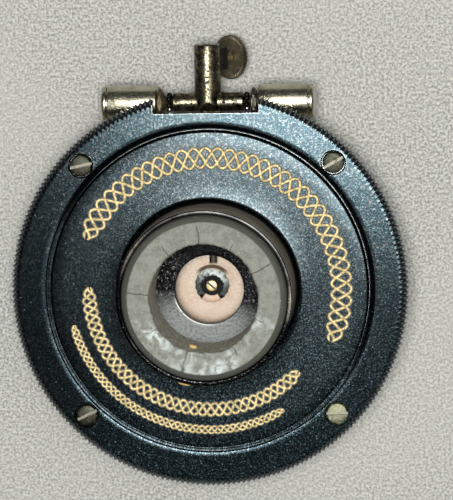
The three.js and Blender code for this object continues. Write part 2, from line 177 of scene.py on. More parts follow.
# %% From an array of points to a piece
def grid_faces(rows, columns, wrap_rows, wrap_columns):
    """Quads of a rows x columns grid: each joins a point, its right neighbour and the two below."""
    row = np.arange(rows if wrap_rows else rows - 1)
    column = np.arange(columns if wrap_columns else columns - 1)
    r, c = np.meshgrid(row, column, indexing="ij")
    next_r, next_c = (r + 1) % rows, (c + 1) % columns
    corners = [r * columns + c, r * columns + next_c, next_r * columns + next_c, next_r * columns + c]
    return np.stack(corners, -1).reshape(-1, 4)


def mesh_of(points, wrap_rows=True, wrap_columns=True, values=None):
    """A mesh from an array of points (rows, columns, 3), its doubles merged and its faces outwards."""
    rows, columns = points.shape[:2]
    quads = grid_faces(rows, columns, wrap_rows, wrap_columns)
    mesh = bpy.data.meshes.new("mesh")
    mesh.vertices.add(rows * columns)
    mesh.vertices.foreach_set("co", to_frame(points).astype(np.float32).ravel())
    mesh.loops.add(len(quads) * 4)
    mesh.loops.foreach_set("vertex_index", quads.astype(np.int32).ravel())
    mesh.polygons.add(len(quads))
    mesh.polygons.foreach_set("loop_start", np.arange(0, len(quads) * 4, 4, dtype=np.int32))
    mesh.update(calc_edges=True)
    for title, value in (values or {}).items():
        attribute = mesh.attributes.new(title, "FLOAT", "POINT")
        attribute.data.foreach_set("value", np.asarray(value, np.float32).ravel())
    closed(mesh)
    return mesh


def closed(mesh, gap=2e-6):
    """Merges points closer than a few thousandths of a millimetre and turns every face outwards."""
    work = bmesh.new()
    work.from_mesh(mesh)
    bmesh.ops.remove_doubles(work, verts=work.verts, dist=gap)
    bmesh.ops.recalc_face_normals(work, faces=work.faces)
    work.to_mesh(mesh)
    work.free()


def piece(name, mesh, material, slot, *stands_for, body="case", sharp=35.0):
    """Puts a mesh in the scene as a piece that rides on a CAD body and stands for CAD nodes."""
    mesh.polygons.foreach_set("use_smooth", np.ones(len(mesh.polygons), bool))
    mesh.set_sharp_from_angle(angle=math.radians(sharp))
    mesh.materials.clear()
    mesh.materials.append(material)
    mesh.name = name
    made = in_scene(name, mesh)
    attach(made, body)
    if stands_for:
        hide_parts(*stands_for)
    print(f"{name}: {len(mesh.vertices)} points, {len(mesh.polygons)} faces")


# %% Profiles and lathe shapes
def arc(centre, radius, start, end, steps=6):
    """Points (r, z) on a circle about centre, from the start to the end angle in degrees."""
    angle = np.radians(np.linspace(start, end, steps + 1))
    return np.stack([centre[0] + radius * np.cos(angle), centre[1] + radius * np.sin(angle)], -1)


def profile(*parts):
    """Joins points and arcs into one (n, 2) profile."""
    return np.concatenate([np.atleast_2d(np.asarray(part, float)) for part in parts])


def turned(section, columns=192, radius_of=None):
    """A profile (r, z) turned about Z: x = r cos t, y = r sin t. radius_of can bend r at each angle."""
    t = np.linspace(0, 2 * math.pi, columns, endpoint=False)
    r = np.repeat(section[:, :1], columns, 1)
    z = np.repeat(section[:, 1:2], columns, 1)
    if radius_of is not None:
        r = radius_of(r, t[None, :])
    return np.stack([r * np.cos(t), r * np.sin(t), z], -1)


def lathe(section, columns=192, lay=None, at=(0, 0, 0), radius_of=None):
    """The mesh of a turned profile, laid along another axis and shifted. A start at r = 0 makes it solid."""
    points = turned(section, columns, radius_of)
    if lay is not None:
        points = lay(points)
    hollow = section[0, 0] > 1e-6
    return mesh_of(points + np.asarray(at, float), wrap_rows=hollow)


def rod(radius, start, end, columns, lay=None, at=(0, 0, 0)):
    """A plain round rod about Z, mostly to bore with."""
    return lathe(profile((0, start), (radius, start), (radius, end), (0, end)), columns, lay, at)


# %% Knurls
def tooth(t, teeth):
    """How far down a V-shaped groove an angle is: 0 at a tip and 1 in a valley."""
    share = (t * teeth / (2 * math.pi)) % 1.0
    return 1 - np.abs(2 * share - 1)


def knurl(teeth, depth, from_radius, over, phase=0.0):
    """A knurl for turned(): r - depth * tooth(angle), which sets in over a short span of the radius."""
    def radius_of(r, t):
        return r - depth * np.clip((r - from_radius) / over, 0, 1) * tooth(t + phase, teeth)

    return radius_of


# %% Laying a shape along another axis
def to_right(points):
    """Turns a shape drawn about Z so that its axis is the pivot axis, pointing right."""
    x, y, z = np.moveaxis(points, -1, 0)
    return np.stack([z, y + PIVOT_Y, PIVOT_Z - x], -1)


def to_left(points):
    """The same, pointing left."""
    x, y, z = np.moveaxis(points, -1, 0)
    return np.stack([-z, y + PIVOT_Y, PIVOT_Z + x], -1)


def to_chuck(points):
    """Turns a shape drawn about Z so that its axis runs out along the chuck."""
    x, y, z = np.moveaxis(points, -1, 0)
    return np.stack([x, z, PIVOT_Z - y], -1)


def tilted(points, turn, shift):
    """Applies a 3 x 3 turn and then a shift to every point."""
    return points @ np.asarray(turn, float).T + np.asarray(shift, float)


def turn_about(axis, degrees):
    """The 3 x 3 turn about an axis."""
    return np.array(Matrix.Rotation(math.radians(degrees), 3, axis))


# %% Straight shapes
def loft(rows):
    """A closed mesh through rows of corners. Its two ends are drawn together at their middles."""
    rows = np.asarray(rows, float)
    ends = rows[[0, -1]].mean(1, keepdims=True).repeat(rows.shape[1], 1)
    return mesh_of(np.concatenate([ends[:1], rows, ends[1:]]), wrap_rows=False)


def block(low, high, turn=np.eye(3), shift=(0, 0, 0)):
    """A box between two corners, which can be turned and shifted."""
    (x0, y0, z0), (x1, y1, z1) = low, high
    rows = np.array([[[x0, y0, z], [x1, y0, z], [x1, y1, z], [x0, y1, z]] for z in (z0, z1)], float)
    return loft(tilted(rows, turn, shift))


def carried(outline, from_x, to_x):
    """A closed outline of (y, z) points carried straight from one x to another."""
    return loft([[(x, y, z) for y, z in outline] for x in (from_x, to_x)])


# %% [markdown]
# ## Tools for cutting
# Screw holes and slots are milled into the turned blanks, as in the workshop. A boolean modifier
# does it exactly; its result is then baked into the mesh so that nothing live is left on the piece.


# %% Cutting and joining
def boolean(mesh, operation, *others):
    """The mesh after booleans with other meshes: DIFFERENCE cuts, UNION joins."""
    for other in others:
        blank, tool = in_scene("blank", mesh), in_scene("tool", other)
        modifier = blank.modifiers.new("cut", "BOOLEAN")
        modifier.operation = operation
        modifier.solver = "EXACT"
        modifier.object = tool
        mesh = baked(blank, tool)
    return mesh


def baked(blank, *tools):
    """The final mesh of an object with its modifiers, after which the object and its tools are deleted."""
    bpy.context.view_layer.update()
    graph = bpy.context.evaluated_depsgraph_get()
    made = bpy.data.meshes.new_from_object(blank.evaluated_get(graph))
    for used in (blank, *tools):
        bpy.data.objects.remove(used)
    return made


def joined(*meshes):
    """One mesh that holds several closed shells."""
    work = bmesh.new()
    for mesh in meshes:
        work.from_mesh(mesh)
    made = bpy.data.meshes.new("joined")
    work.to_mesh(made)
    work.free()
    return made


# %% [markdown]
# ## Shared effects
# Four effects show on nearly every metal piece in the photograph, so each is a node group with its
# own inputs: bright rubbed edges, fine scratches, dust and specks, and a cloudy film whose tint
# wanders. They give masks and colours only. The shader stays in each material.
#
# A node's output is wrapped as a Value, so that masks can be reckoned with like numbers.


# %% Reckoning with node outputs
class Value:
    """A node's output. Each operator adds a Math node to the output's own tree and gives its result."""

    def __init__(self, socket):
        self.socket = socket
        self.tree = socket.id_data

    def math(self, operation, other=0.0, swap=False, clamp=False):
        """One Math node: this value first and the other second, or the other way round."""
        pair = (other, self) if swap else (self, other)
        return add(self.tree, "ShaderNodeMath", dict(enumerate(pair)), operation=operation, use_clamp=clamp)

    def __add__(self, other):
        return self.math("ADD", other)

    def __sub__(self, other):
        return self.math("SUBTRACT", other)

    def __rsub__(self, other):
        return self.math("SUBTRACT", other, swap=True)

    def __mul__(self, other):
        return self.math("MULTIPLY", other)

    def __rtruediv__(self, other):
        return self.math("DIVIDE", other, swap=True)

    def __abs__(self):
        return self.math("ABSOLUTE")

    def at_least(self, other):
        """The greater of two values."""
        return self.math("MAXIMUM", other)

    def clamped(self):
        """The value kept between 0 and 1."""
        return self.math("ADD", 0.0, clamp=True)

    def output(self, name):
        """Another output of the same node."""
        return Value(self.socket.node.outputs[name])

    def parts(self):
        """The X, Y and Z of a vector."""
        axes = add(self.tree, "ShaderNodeSeparateXYZ", {0: self})
        return axes, axes.output("Y"), axes.output("Z")


def plug(value, socket):
    """Links a Value to an input, or sets the input to a constant. A colour of three numbers is opaque."""
    if isinstance(value, Value):
        value.tree.links.new(value.socket, socket)
    elif socket.type == "RGBA":
        socket.default_value = (*value[:3], 1.0)
    else:
        socket.default_value = value


def add(tree, kind, inputs=None, output=0, **settings):
    """Adds a node with its settings and inputs, and gives one of its outputs."""
    node = tree.nodes.new(kind)
    for name, value in settings.items():
        setattr(node, name, value)
    for name, value in (inputs or {}).items():
        plug(value, node.inputs[name])
    return Value(node.outputs[output])


# %% Common nodes
def vector_math(operation, first, second=(0, 0, 0), output="Vector"):
    """One Vector Math node."""
    return add(first.tree, "ShaderNodeVectorMath", {0: first, 1: second}, output, operation=operation)


def noise(place, scale, detail=4.0, roughness=0.5, distortion=0.0):
    """A noise texture's value."""
    inputs = {"Vector": place, "Scale": scale, "Detail": detail}
    inputs.update({"Roughness": roughness, "Distortion": distortion})
    return add(place.tree, "ShaderNodeTexNoise", inputs, "Fac")


def ramp(value, low, high):
    """Stretches value so that low gives 0 and high gives 1, eased at both ends."""
    limits = {"Value": value, "From Min": low, "From Max": high}
    return add(value.tree, "ShaderNodeMapRange", limits, "Result", interpolation_type="SMOOTHSTEP")


def within(value, centre, outside, inside):
    """1 where |value - centre| is under inside, falling to 0 where it reaches outside."""
    return ramp(abs(value - centre), outside, inside)


def blend(share, first, second, blend_type="MIX"):
    """Mixes two colours by a mask."""
    FACTOR, FIRST, SECOND, RESULT = 0, 6, 7, 2
    inputs = {FACTOR: share, FIRST: first, SECOND: second}
    return add(share.tree, "ShaderNodeMix", inputs, RESULT, data_type="RGBA", blend_type=blend_type)


def layered(colour, *coats):
    """Lays colours over one another, each through its own mask."""
    for mask, coat in coats:
        colour = blend(mask, colour, coat)
    return colour


def clouded(value, low, high, dark, pale):
    """Two colours that change over at a value between low and high."""
    return blend(ramp(value, low, high), dark, pale)


# %% Starting a node group
def new_group(name, output, **inputs):
    """A shader group with Position, inputs with their defaults, and one output. Gives all their sockets."""
    tree = bpy.data.node_groups.new(name, "ShaderNodeTree")
    tree.interface.new_socket("Position", in_out="INPUT", socket_type="NodeSocketVector")
    for title, value in inputs.items():
        kind = "NodeSocketFloat" if isinstance(value, float) else "NodeSocketColor"
        socket = tree.interface.new_socket(title.replace("_", " "), in_out="INPUT", socket_type=kind)
        socket.default_value = value
    kind = "NodeSocketColor" if output == "Color" else "NodeSocketFloat"
    tree.interface.new_socket(output, in_out="OUTPUT", socket_type=kind)
    start, end = tree.nodes.new("NodeGroupInput"), tree.nodes.new("NodeGroupOutput")
    print(f"node group {name}: {', '.join(inputs)} give a {output.lower()}")
    return tree, [Value(start.outputs[index]) for index in range(len(inputs) + 1)], end.inputs[output]


# %% Rubbed edges
edge_group, (place, width, raggedness), result = new_group("Rubbed Edge", "Mask", Width=0.12, Raggedness=0.6)
rounded = add(edge_group, "ShaderNodeBevel", {"Radius": width * 0.001}, samples=6)
flat = add(edge_group, "ShaderNodeNewGeometry", output="Normal")
edge = ramp(1.0 - vector_math("DOT_PRODUCT", rounded, flat, "Value"), 0.002, 0.09)
kept = ramp(noise(place, 3.0, 5.0, 0.65), 0.62, 0.38) * raggedness
plug(edge * (1.0 - kept), result)

# %% Fine scratches
SCRATCHES = ((17, 0.04, 9.0), (-52, 0.06, 7.0), (78, 0.05, 11.0))  # direction in degrees, stretch, scale
scratch_group, (place, density, seed), result = new_group("Fine Scratches", "Mask", Density=0.5, Seed=0.0)
marks = None
for degrees, stretch, scale in SCRATCHES:
    mapping = {"Vector": place, "Rotation": (0, 0, math.radians(degrees)), "Scale": (stretch, 1, 1)}
    seeded = vector_math("ADD", add(scratch_group, "ShaderNodeMapping", mapping), seed)
    lines = within(noise(seeded, scale, 2.0, 0.4), 0.5, 0.012, 0.0)
    marks = lines if marks is None else marks.at_least(lines)
patches = ramp(noise(place, 0.35, 3.0), 0.42, 0.62)
plug(marks * patches * density, result)

# %% Dust and specks
dust_group, (place, spacing, amount), result = new_group("Dust Specks", "Mask", Spacing=0.5, Amount=0.5)
cells = add(dust_group, "ShaderNodeTexVoronoi", {"Vector": place, "Scale": 1.0 / spacing}, "Distance")
grain = ramp(cells, 0.2, 0.1)
chosen = add(dust_group, "ShaderNodeSeparateColor", {"Color": cells.output("Color")}, "Red")
shown = ramp(chosen + (amount - 1.0), 0.0, 0.05)
drift = ramp(noise(place, 0.25, 4.0, 0.6), 0.38, 0.6)
plug(grain * shown * drift, result)

# %% Cloudy film
TINTS = (
    (0.25, (0.72, 0.86, 1.0)), (0.42, (0.62, 1.0, 0.98)), (0.58, (1.0, 0.98, 0.86)),
    (0.75, (0.95, 0.84, 1.05)),
)
film_group, (place, cloud_size, dark, pale, tint), result = new_group(
    "Cloudy Film", "Color", Cloud_Size=6.0, Dark=(0.02, 0.03, 0.04, 1), Pale=(0.06, 0.08, 0.1, 1), Tint=0.8
)
clouds = clouded(noise(place, 1.0 / cloud_size, 6.0, 0.6, 0.7), 0.34, 0.66, dark, pale)
hue = noise(place, 1.6, 5.0) * 1.2 + noise(place, 3.5, 3.0) * 0.8
tints = add(film_group, "ShaderNodeValToRGB", {"Fac": hue - 0.5}, "Color")
for at, colour in TINTS:
    stop = tints.socket.node.color_ramp.elements.new(at)
    stop.color = (*colour, 1)
plug(blend(tint, clouds, tints, "MULTIPLY"), result)


# %% [markdown]
# ## Finishes
# Each finish is one material. It starts with the place of the point in millimetres, so that every
# scale below is a size on the real object, and ends in one Principled shader.


# %% Starting and ending a finish
def begin(name):
    """A new material, its Principled shader, and the position in millimetres."""
    material = bpy.data.materials.new(name)
    material.use_nodes = True
    tree = material.node_tree
    tree.nodes.clear()
    shader = tree.nodes.new("ShaderNodeBsdfPrincipled")
    output = tree.nodes.new("ShaderNodeOutputMaterial")
    tree.links.new(shader.outputs[0], output.inputs["Surface"])
    place = add(tree, "ShaderNodeTexCoord", output="Object")
    scaled = {0: place, "Scale": 1000}
    print("finish:", name)
    return material, shader, add(tree, "ShaderNodeVectorMath", scaled, "Vector", operation="SCALE")


def use(group, place, **inputs):
    """Places a node group with its own values and gives its output."""
    node = place.tree.nodes.new("ShaderNodeGroup")
    node.node_tree = group
    fill(node, Position=place, **inputs)
    return Value(node.outputs[0])


def fill(node, **sockets):
    """Links or sets a node's inputs. A name's underscores stand for spaces."""
    for name, value in sockets.items():
        plug(value, node.inputs[name.replace("_", " ")])


def bump(height, microns):
    """The normal of a surface whose height is given in units of some microns."""
    return add(height.tree, "ShaderNodeBump", {"Height": height, "Distance": microns * 1e-6})


def from_axis(place):
    """Radius, bearing in degrees and height of a point about the case axis: sqrt(x2 + y2), atan2(y, x), z."""
    shifted = vector_math("ADD", place, (0, -CASE_AXIS_MM, 0))
    x, y, height = shifted.parts()
    radius = vector_math("LENGTH", vector_math("MULTIPLY", shifted, (1, 1, 0)), output="Value")
    return radius, y.math("ARCTAN2", x) * (180 / math.pi), height


# %% [markdown]
# ## Blued metal
# The ring and the plate are blue-black and mirror the lamp over half of their faces. Towards the foot,
# where the lamp doesn't reach, the metal is deep navy under a bluish dust. A mask that depends on the
# bearing about the case axis keeps each mark on its own side: painted shade in the joint towards the upper
# right, a worn brown cup wall and a painted silver highlight on its rim on the lit upper right, painted
# shade on the rest of the cup, a bore floor painted dark where shade falls and pale where the lamp
# reaches, and a painted highlight on the throat's lip.


# %% Wear and painted light by place
# Bearings in degrees about the case axis: 0 is to the right and 90 is towards the needle.
# Painted shade in the joint, the lit and worn side of the cup, the lit part of the bore's floor and the
# painted highlight on the throat's lip each sit at a bearing.
JOINT_SHADE_BEARING, LIT_WEAR_BEARING, DUSTY_BEARING = 62.0, 72.0, -75.0
LIT_FLOOR_BEARING, LIP_HIGHLIGHT_BEARING = -100.0, -122.0


def painted_joint_shade(place):
    """Painted shade: near black along the joint between the ring and the plate, deepest towards the upper
    right, thinning out towards the lower left.
    """
    radius, bearing = from_axis(place)[:2]
    return within(radius, RING_BORE - 0.05, 0.6, 0.32) * within(bearing, JOINT_SHADE_BEARING, 115.0, 75.0)


def rubbed_tips(place):
    """The tips of the knurl's teeth, which hands have rubbed grey."""
    radius, bearing = from_axis(place)[:2]
    along = (bearing * (KNURL_TEETH / 360)).math("FRACT")
    return ramp(abs(along - 0.5), 0.22, 0.42) * ramp(radius, CASE_RADIUS - 0.78, CASE_RADIUS - 0.6)


# %% Wear of the cup, with painted light and shade
def cup_wear(place, surface):
    """The cup's wall is worn brown and its rim silver on the lit side, with painted shade elsewhere; the
    bore's floor is sooty with painted shade and painted light, and its lip has a painted highlight.

    Gives the colour and four masks: worn wall, unlit side of the cup, bore, and pale, painted lit part of its
    floor.
    """
    radius, bearing, height = from_axis(place)
    foot = ramp(radius, CUP_RADIUS + 0.8, CUP_RADIUS + 0.2)
    on_wall = foot * ramp(height, BACK_Z + 0.2, BACK_Z + 1.2) * ramp(radius, 10.0, 11.0)
    around = add(place.tree, "ShaderNodeCombineXYZ", {"X": bearing * 0.05, "Y": height * 1.6})
    streaks = noise(around, 0.9, 6.0, 0.65, 0.6)
    # The worn side is also the side that the lamps light.
    worn_lit_side = within(bearing, LIT_WEAR_BEARING, 95.0, 60.0)
    wall = clouded(streaks, 0.38, 0.62, (0.1, 0.092, 0.078), (0.3, 0.27, 0.225))
    # Painted shade: the wall is near black away from the lit side.
    wall = blend(worn_lit_side, (0.0004, 0.0004, 0.0005), wall)
    # Worn metal with a painted highlight: the silver rim shows on the lit side only.
    near_rim = ramp(height, CUP_TOP_Z - 0.16, CUP_TOP_Z - 0.04) * on_wall
    silver = clouded(streaks, 0.4, 0.55, (0.002, 0.002, 0.0018), (0.014, 0.014, 0.013))
    surface = layered(surface, (on_wall, wall), (near_rim * worn_lit_side, silver))
    in_bore = ramp(radius, BORE_RADIUS + 0.55, BORE_RADIUS + 0.15)
    # Painted light and shade on the bore's floor: pale where the lamp reaches it, near black where the bore's
    # wall shades it.
    low = within(bearing, LIT_FLOOR_BEARING, 85.0, 30.0)
    # Grey grains, left out towards the needle where the bush's shade falls: painted shade.
    grains = ramp(noise(place, 3.4, 3.0, 0.8), 0.56, 0.68) * ramp(abs(bearing - 90.0), 25.0, 65.0)
    # Painted highlight: a pale arc on the throat's lip towards the lower left, where its edge catches the
    # light.
    lip_highlight = within(radius, THROAT_RADIUS + 0.16, 0.12, 0.04) * within(bearing, LIP_HIGHLIGHT_BEARING, 50.0, 25.0)
    floor = layered(
        blend(low, (0.0006, 0.0006, 0.0007), (0.1, 0.115, 0.11)),
        (ramp(noise(place, 2.6, 5.0, 0.75), 0.42, 0.6) * 0.75, (0.004, 0.004, 0.004)),
        (grains, (0.1, 0.107, 0.103)),
        # Painted highlight on the throat's lip.
        (lip_highlight, (0.36, 0.36, 0.34)),
    )
    # The unlit side of the cup, where rubbed edges and lacquer are left off: painted shade.
    on_cup = foot * (1.0 - worn_lit_side) * ramp(radius, 8.5, 9.5)
    worn = on_wall * ramp(worn_lit_side, 0.0, 0.1) * (1.0 - near_rim)
    return blend(in_bore, surface, floor), worn, on_cup * 0.97, in_bore, low.at_least(grains * 0.6)


# %% One recipe for blued metal
def blued_metal(name, dark, pale, glint, roughness, cup=False):
    """Blue-black metal: a cloudy film under a thin lacquer, rubbed edges, scratches, glints and dust."""
    material, shader, place = begin(name)
    edge = use(edge_group, place, Width=0.13, Raggedness=0.8)
    scratch = use(scratch_group, place, Density=0.3, Seed=3.0)
    dusty = within(from_axis(place)[1], DUSTY_BEARING, 80.0, 35.0)
    specks = use(dust_group, place, Spacing=0.5, Amount=dusty * 0.35 + 0.2)
    bloom = (ramp(noise(place, 3.4, 3.0, 0.8), 0.52, 0.66) * (dusty + 0.2)).clamped() * 0.8
    fine = noise(place, 3.2, 4.0, 0.7)
    surface = layered(
        use(film_group, place, Cloud_Size=3.5, Dark=dark, Pale=pale, Tint=0.9),
        (ramp(fine, 0.52, 0.64) * 0.8, glint),
        (bloom, (0.027, 0.068, 0.088)),
    )
    # Painted shade along the joint: rubbed edges are kept dark there and the lacquer is left off.
    joint_shade = painted_joint_shade(place)
    dull, kept_dark = specks.at_least(bloom), joint_shade
    rough = fine * 0.06 + (roughness - 0.03) + joint_shade * 0.6
    lacquer = fine * 0.06 + 0.04
    if cup:
        # low is the pale, painted lit part of the bore's floor.
        surface, worn, on_cup, in_bore, low = cup_wear(place, surface)
        rough = rough + in_bore * 0.3 + worn * 0.4
        dull = dull.at_least(worn.at_least(in_bore * low))
        # Rubbed edges are also kept dark on the cup's unlit side: painted shade.
        kept_dark = joint_shade.at_least(on_cup)
        lacquer = lacquer * (1.0 - on_cup.at_least(in_bore))
    else:
        tips = rubbed_tips(place)
        surface = blend(tips, surface, (0.06, 0.072, 0.078))
        dull = dull.at_least(tips * 0.7)
        rough = rough + tips * 0.3
    colour = layered(
        surface,
        (edge * (1.0 - kept_dark), (0.15, 0.16, 0.155)),
        (scratch, (0.03, 0.034, 0.036)),
        # Near black in the joint: painted shade.
        (joint_shade * 0.9, (0.0005, 0.0006, 0.0008)),
        (specks, (0.05, 0.1, 0.125)),
    )
    peel = noise(place, 1.1, 2.0)
    fill(
        shader, Base_Color=colour, Roughness=(rough + specks * 0.5).clamped(), Metallic=1.0 - dull * 0.9,
        Coat_Weight=lacquer * (1.0 - joint_shade), Coat_Roughness=0.14,
        Normal=bump(peel * 0.2 + fine * 0.2 - scratch * 0.02, 30),
    )
    return material


# %% The two blued finishes
ring_blue = blued_metal(
    "Blued ring", dark=(0.003, 0.0062, 0.0084), pale=(0.0048, 0.0082, 0.0098),
    glint=(0.03, 0.034, 0.0345), roughness=0.13,
)
plate_blue = blued_metal(
    "Blued plate", dark=(0.0036, 0.0053, 0.0066), pale=(0.0056, 0.0074, 0.0086),
    glint=(0.026, 0.03, 0.031), roughness=0.165, cup=True,
)


# %% [markdown]
# ## Plated and bare metal
# All other metal is one recipe with different colours: a warm plate that has gone cloudy, spots where
# it has worn through, rubbed edges and pits. A mask gives grime in some slots, painted shade in another,
# and a darker boss.


# %% One recipe for plated and bare metal
def plated(name, bright, dull, spots, roughness, spot_share, edge_colour=(0.75, 0.72, 0.62), rust=0.6,
           grime_and_shade_mask=None, grime_and_shade_colour=(0.02, 0.018, 0.014), cloud_size=3.0):
    """Old plated metal: a bright plate with dull clouds, spots where it has gone through, and pits.

    rust says how much metal a spot hides, and the grime and shade mask marks places that take another colour:
    grime in the ring screws' slots, painted shade in the middle screw's slot, a darker boss.
    """
    material, shader, place = begin(name)
    scratch = use(scratch_group, place, Density=0.5, Seed=8.0)
    rusty = ramp(noise(place, 1.3, 7.0, 0.7), 0.72 - 0.3 * spot_share, 0.86 - 0.3 * spot_share)
    pits = ramp(noise(place, 5.0, 3.0, 0.6), 0.56, 0.7)
    colour = layered(
        use(film_group, place, Cloud_Size=cloud_size, Dark=dull, Pale=bright, Tint=0.06),
        (rusty, spots),
        (use(edge_group, place, Width=0.1, Raggedness=0.5), edge_colour),
        (pits * 0.35, (0.05, 0.045, 0.03)),
    )
    rough = (rusty * 0.4 + roughness + scratch * 0.15).clamped()
    if grime_and_shade_mask is not None:
        grime_and_shade = grime_and_shade_mask(place)
        colour = blend(grime_and_shade, colour, grime_and_shade_colour)
        rusty = rusty.at_least(grime_and_shade)
    height = noise(place, 1.8, 3.0) - pits * 0.5 - scratch * 0.2
    fill(shader, Base_Color=colour, Roughness=rough, Metallic=1.0 - rusty * rust, Normal=bump(height, 20))
    return material


# %% Where grime settles, where shade is painted, and the dark boss
def below(height):
    """A mask under a given height, which is the floor of a screw's slot: grime in the ring screws, painted
    shade in the middle screw.
    """
    def mask(place):
        return ramp(place.parts()[2], height, height - 0.1)

    return mask


def on_boss(place):
    """Darkens the square boss beside the chuck."""
    x, y = place.parts()[:2]
    beside_hole = within(y, NEEDLE_SCREW_Y + CASE_AXIS_MM, 2.1, 1.8)
    return beside_hole * ramp(x, CHUCK_RADIUS - 0.12, CHUCK_RADIUS + 0.02)


# %% The other metals
# Each line gives the bright, dull and spot colours, the roughness and the share that is spotted.
nickel = plated("Nickel", (0.56, 0.53, 0.41), (0.36, 0.34, 0.25), (0.16, 0.11, 0.06), 0.24, 0.3)
case_nickel = plated("Case nickel", (0.5, 0.47, 0.4), (0.3, 0.28, 0.23), (0.13, 0.1, 0.06), 0.3, 0.4)
dark_nickel = plated(
    "Dark nickel", (0.25, 0.22, 0.145), (0.03, 0.028, 0.021), (0.006, 0.006, 0.005), 0.23, 0.8,
    edge_colour=(0.13, 0.128, 0.11), rust=0.1, grime_and_shade_mask=on_boss, grime_and_shade_colour=(0.016, 0.016, 0.017), cloud_size=0.9,
)
worn_steel = plated("Worn steel", (0.07, 0.068, 0.05), (0.03, 0.028, 0.02), (0.07, 0.045, 0.025), 0.6, 0.6)
screw_steel = plated(
    "Screw steel", (0.026, 0.027, 0.02), (0.012, 0.0122, 0.009), (0.048, 0.042, 0.028), 0.4, 0.7,
    edge_colour=(0.1, 0.105, 0.085), grime_and_shade_mask=below(SLOT_FLOOR_Z + 0.25), grime_and_shade_colour=(0.11, 0.1, 0.075),
)
verdigris = plated(
    "Verdigris", (0.13, 0.135, 0.085), (0.07, 0.072, 0.045), (0.34, 0.35, 0.25), 0.5, 0.7,
    edge_colour=(0.2, 0.21, 0.16), rust=0.9, grime_and_shade_mask=below(SLOT_FLOOR_Z + 0.25), grime_and_shade_colour=(0.2, 0.2, 0.15),
)
# Bright clean steel for one ball only: a painted glint.
glint_ball_steel = plated("Ball steel with painted glint", (0.7, 0.7, 0.66), (0.45, 0.44, 0.4), (0.1, 0.09, 0.06), 0.15, 0.3)
greasy_steel = plated(
    "Greasy steel", (0.02, 0.018, 0.014), (0.01, 0.009, 0.007), (0.03, 0.02, 0.01), 0.35, 0.5,
    edge_colour=(0.05, 0.045, 0.035),
)
# The middle screw's slot is darkened below its rim: painted shade.
screw_brass = plated(
    "Screw brass", (0.5, 0.42, 0.22), (0.34, 0.27, 0.13), (0.14, 0.09, 0.04), 0.45, 0.25,
    edge_colour=(0.55, 0.48, 0.3), grime_and_shade_mask=below(HEAD_SEAT_Z + 0.46),
)
rusty_steel = plated(
    "Rusty steel", (0.17, 0.14, 0.09), (0.1, 0.075, 0.045), (0.15, 0.085, 0.045), 0.6, 0.7,
    edge_colour=(0.2, 0.17, 0.12),
)
bronze = plated(
    "Bronzed steel", (0.25, 0.215, 0.145), (0.13, 0.11, 0.072), (0.12, 0.085, 0.05), 0.5, 0.6,
    edge_colour=(0.07, 0.06, 0.045),
)
pin_brass = plated(
    "Pin brass", (0.7, 0.55, 0.27), (0.5, 0.38, 0.17), (0.5, 0.36, 0.14), 0.4, 1.5,
    edge_colour=(0.6, 0.5, 0.28), rust=0.8,
)
print("finishes so far:", len(bpy.data.materials))

# %% [markdown]
# ## The back ring
# The ring is turned, then its rim is knurled with 240 fine V-shaped teeth that run up over a bevel,
# and a flat is milled away at the needle end. The knurl is a radius that depends on the angle: the
# turned radius, less the depth of the tooth there. The flat is cut with a block afterwards, because
# its side walls lean over the radius, so no single radius could give both the gap and the wall.

# %% Back ring
SCREW_BEARINGS = (45, 135, 225, 315)
ring_section = profile(
    arc((RING_BORE + 0.1, RING_SEAT_Z + 0.1), 0.1, 270, 180, 2),
    arc((RING_BORE + 0.16, BACK_Z - 0.16), 0.16, 180, 90, 4),
    (25.6, BACK_Z), (26.6, BACK_Z), (27.8, BACK_Z), (28.6, BACK_Z),
    arc((CASE_RADIUS - RING_BEVEL - 0.1, BACK_Z - 0.25), 0.25, 90, 45, 2),
    (CASE_RADIUS - 0.38, BACK_Z - 0.36),
    arc((CASE_RADIUS - 0.25, BACK_Z - 0.86), 0.25, 45, 0, 2),
    (CASE_RADIUS, RING_SEAT_Z + 0.12), (CASE_RADIUS - 0.12, RING_SEAT_Z),
    (28.0, RING_SEAT_Z), (26.4, RING_SEAT_Z),
)
sink = profile(
    (0, RING_SEAT_Z - 1), (TAPPED_RADIUS, RING_SEAT_Z - 1), (TAPPED_RADIUS, HEAD_BOTTOM_Z),
    (SINK_RADIUS, HEAD_BOTTOM_Z), (SINK_RADIUS, BACK_Z - 0.22), (2.2, BACK_Z + 0.26), (2.2, BACK_Z + 1),
    (0, BACK_Z + 1),
)


def screw_centre(bearing):
    """The point of the screw circle at a bearing in degrees."""
    t = math.radians(bearing)
    return np.array([SCREW_CIRCLE * math.cos(t), SCREW_CIRCLE * math.sin(t), 0])


teeth = knurl(KNURL_TEETH, KNURL_DEPTH, CASE_RADIUS - RING_BEVEL - 0.35, 0.5)
sinks = joined(*(lathe(sink, 64, at=screw_centre(bearing)) for bearing in SCREW_BEARINGS))
notch = block((-NOTCH_HALF_WIDTH, NOTCH_Y, 0), (NOTCH_HALF_WIDTH, BEYOND, BEYOND))
ring_mesh = boolean(lathe(ring_section, KNURL_TEETH * 6, radius_of=teeth), "DIFFERENCE", sinks, notch)
piece("knurled_ring", ring_mesh, ring_blue, "blued", "back_ring", sharp=24)

# %% [markdown]
# ## Ring screws
# Four cheese-headed screws, sunk in the ring. Each is turned with a rounded shoulder and then slotted
# with a thin block: a slot drawn by a bump alone would vanish when seen from the side. Each slot stands
# at its own angle, as the screwdriver left it. Old grime fills the slots, and one head has gone green.

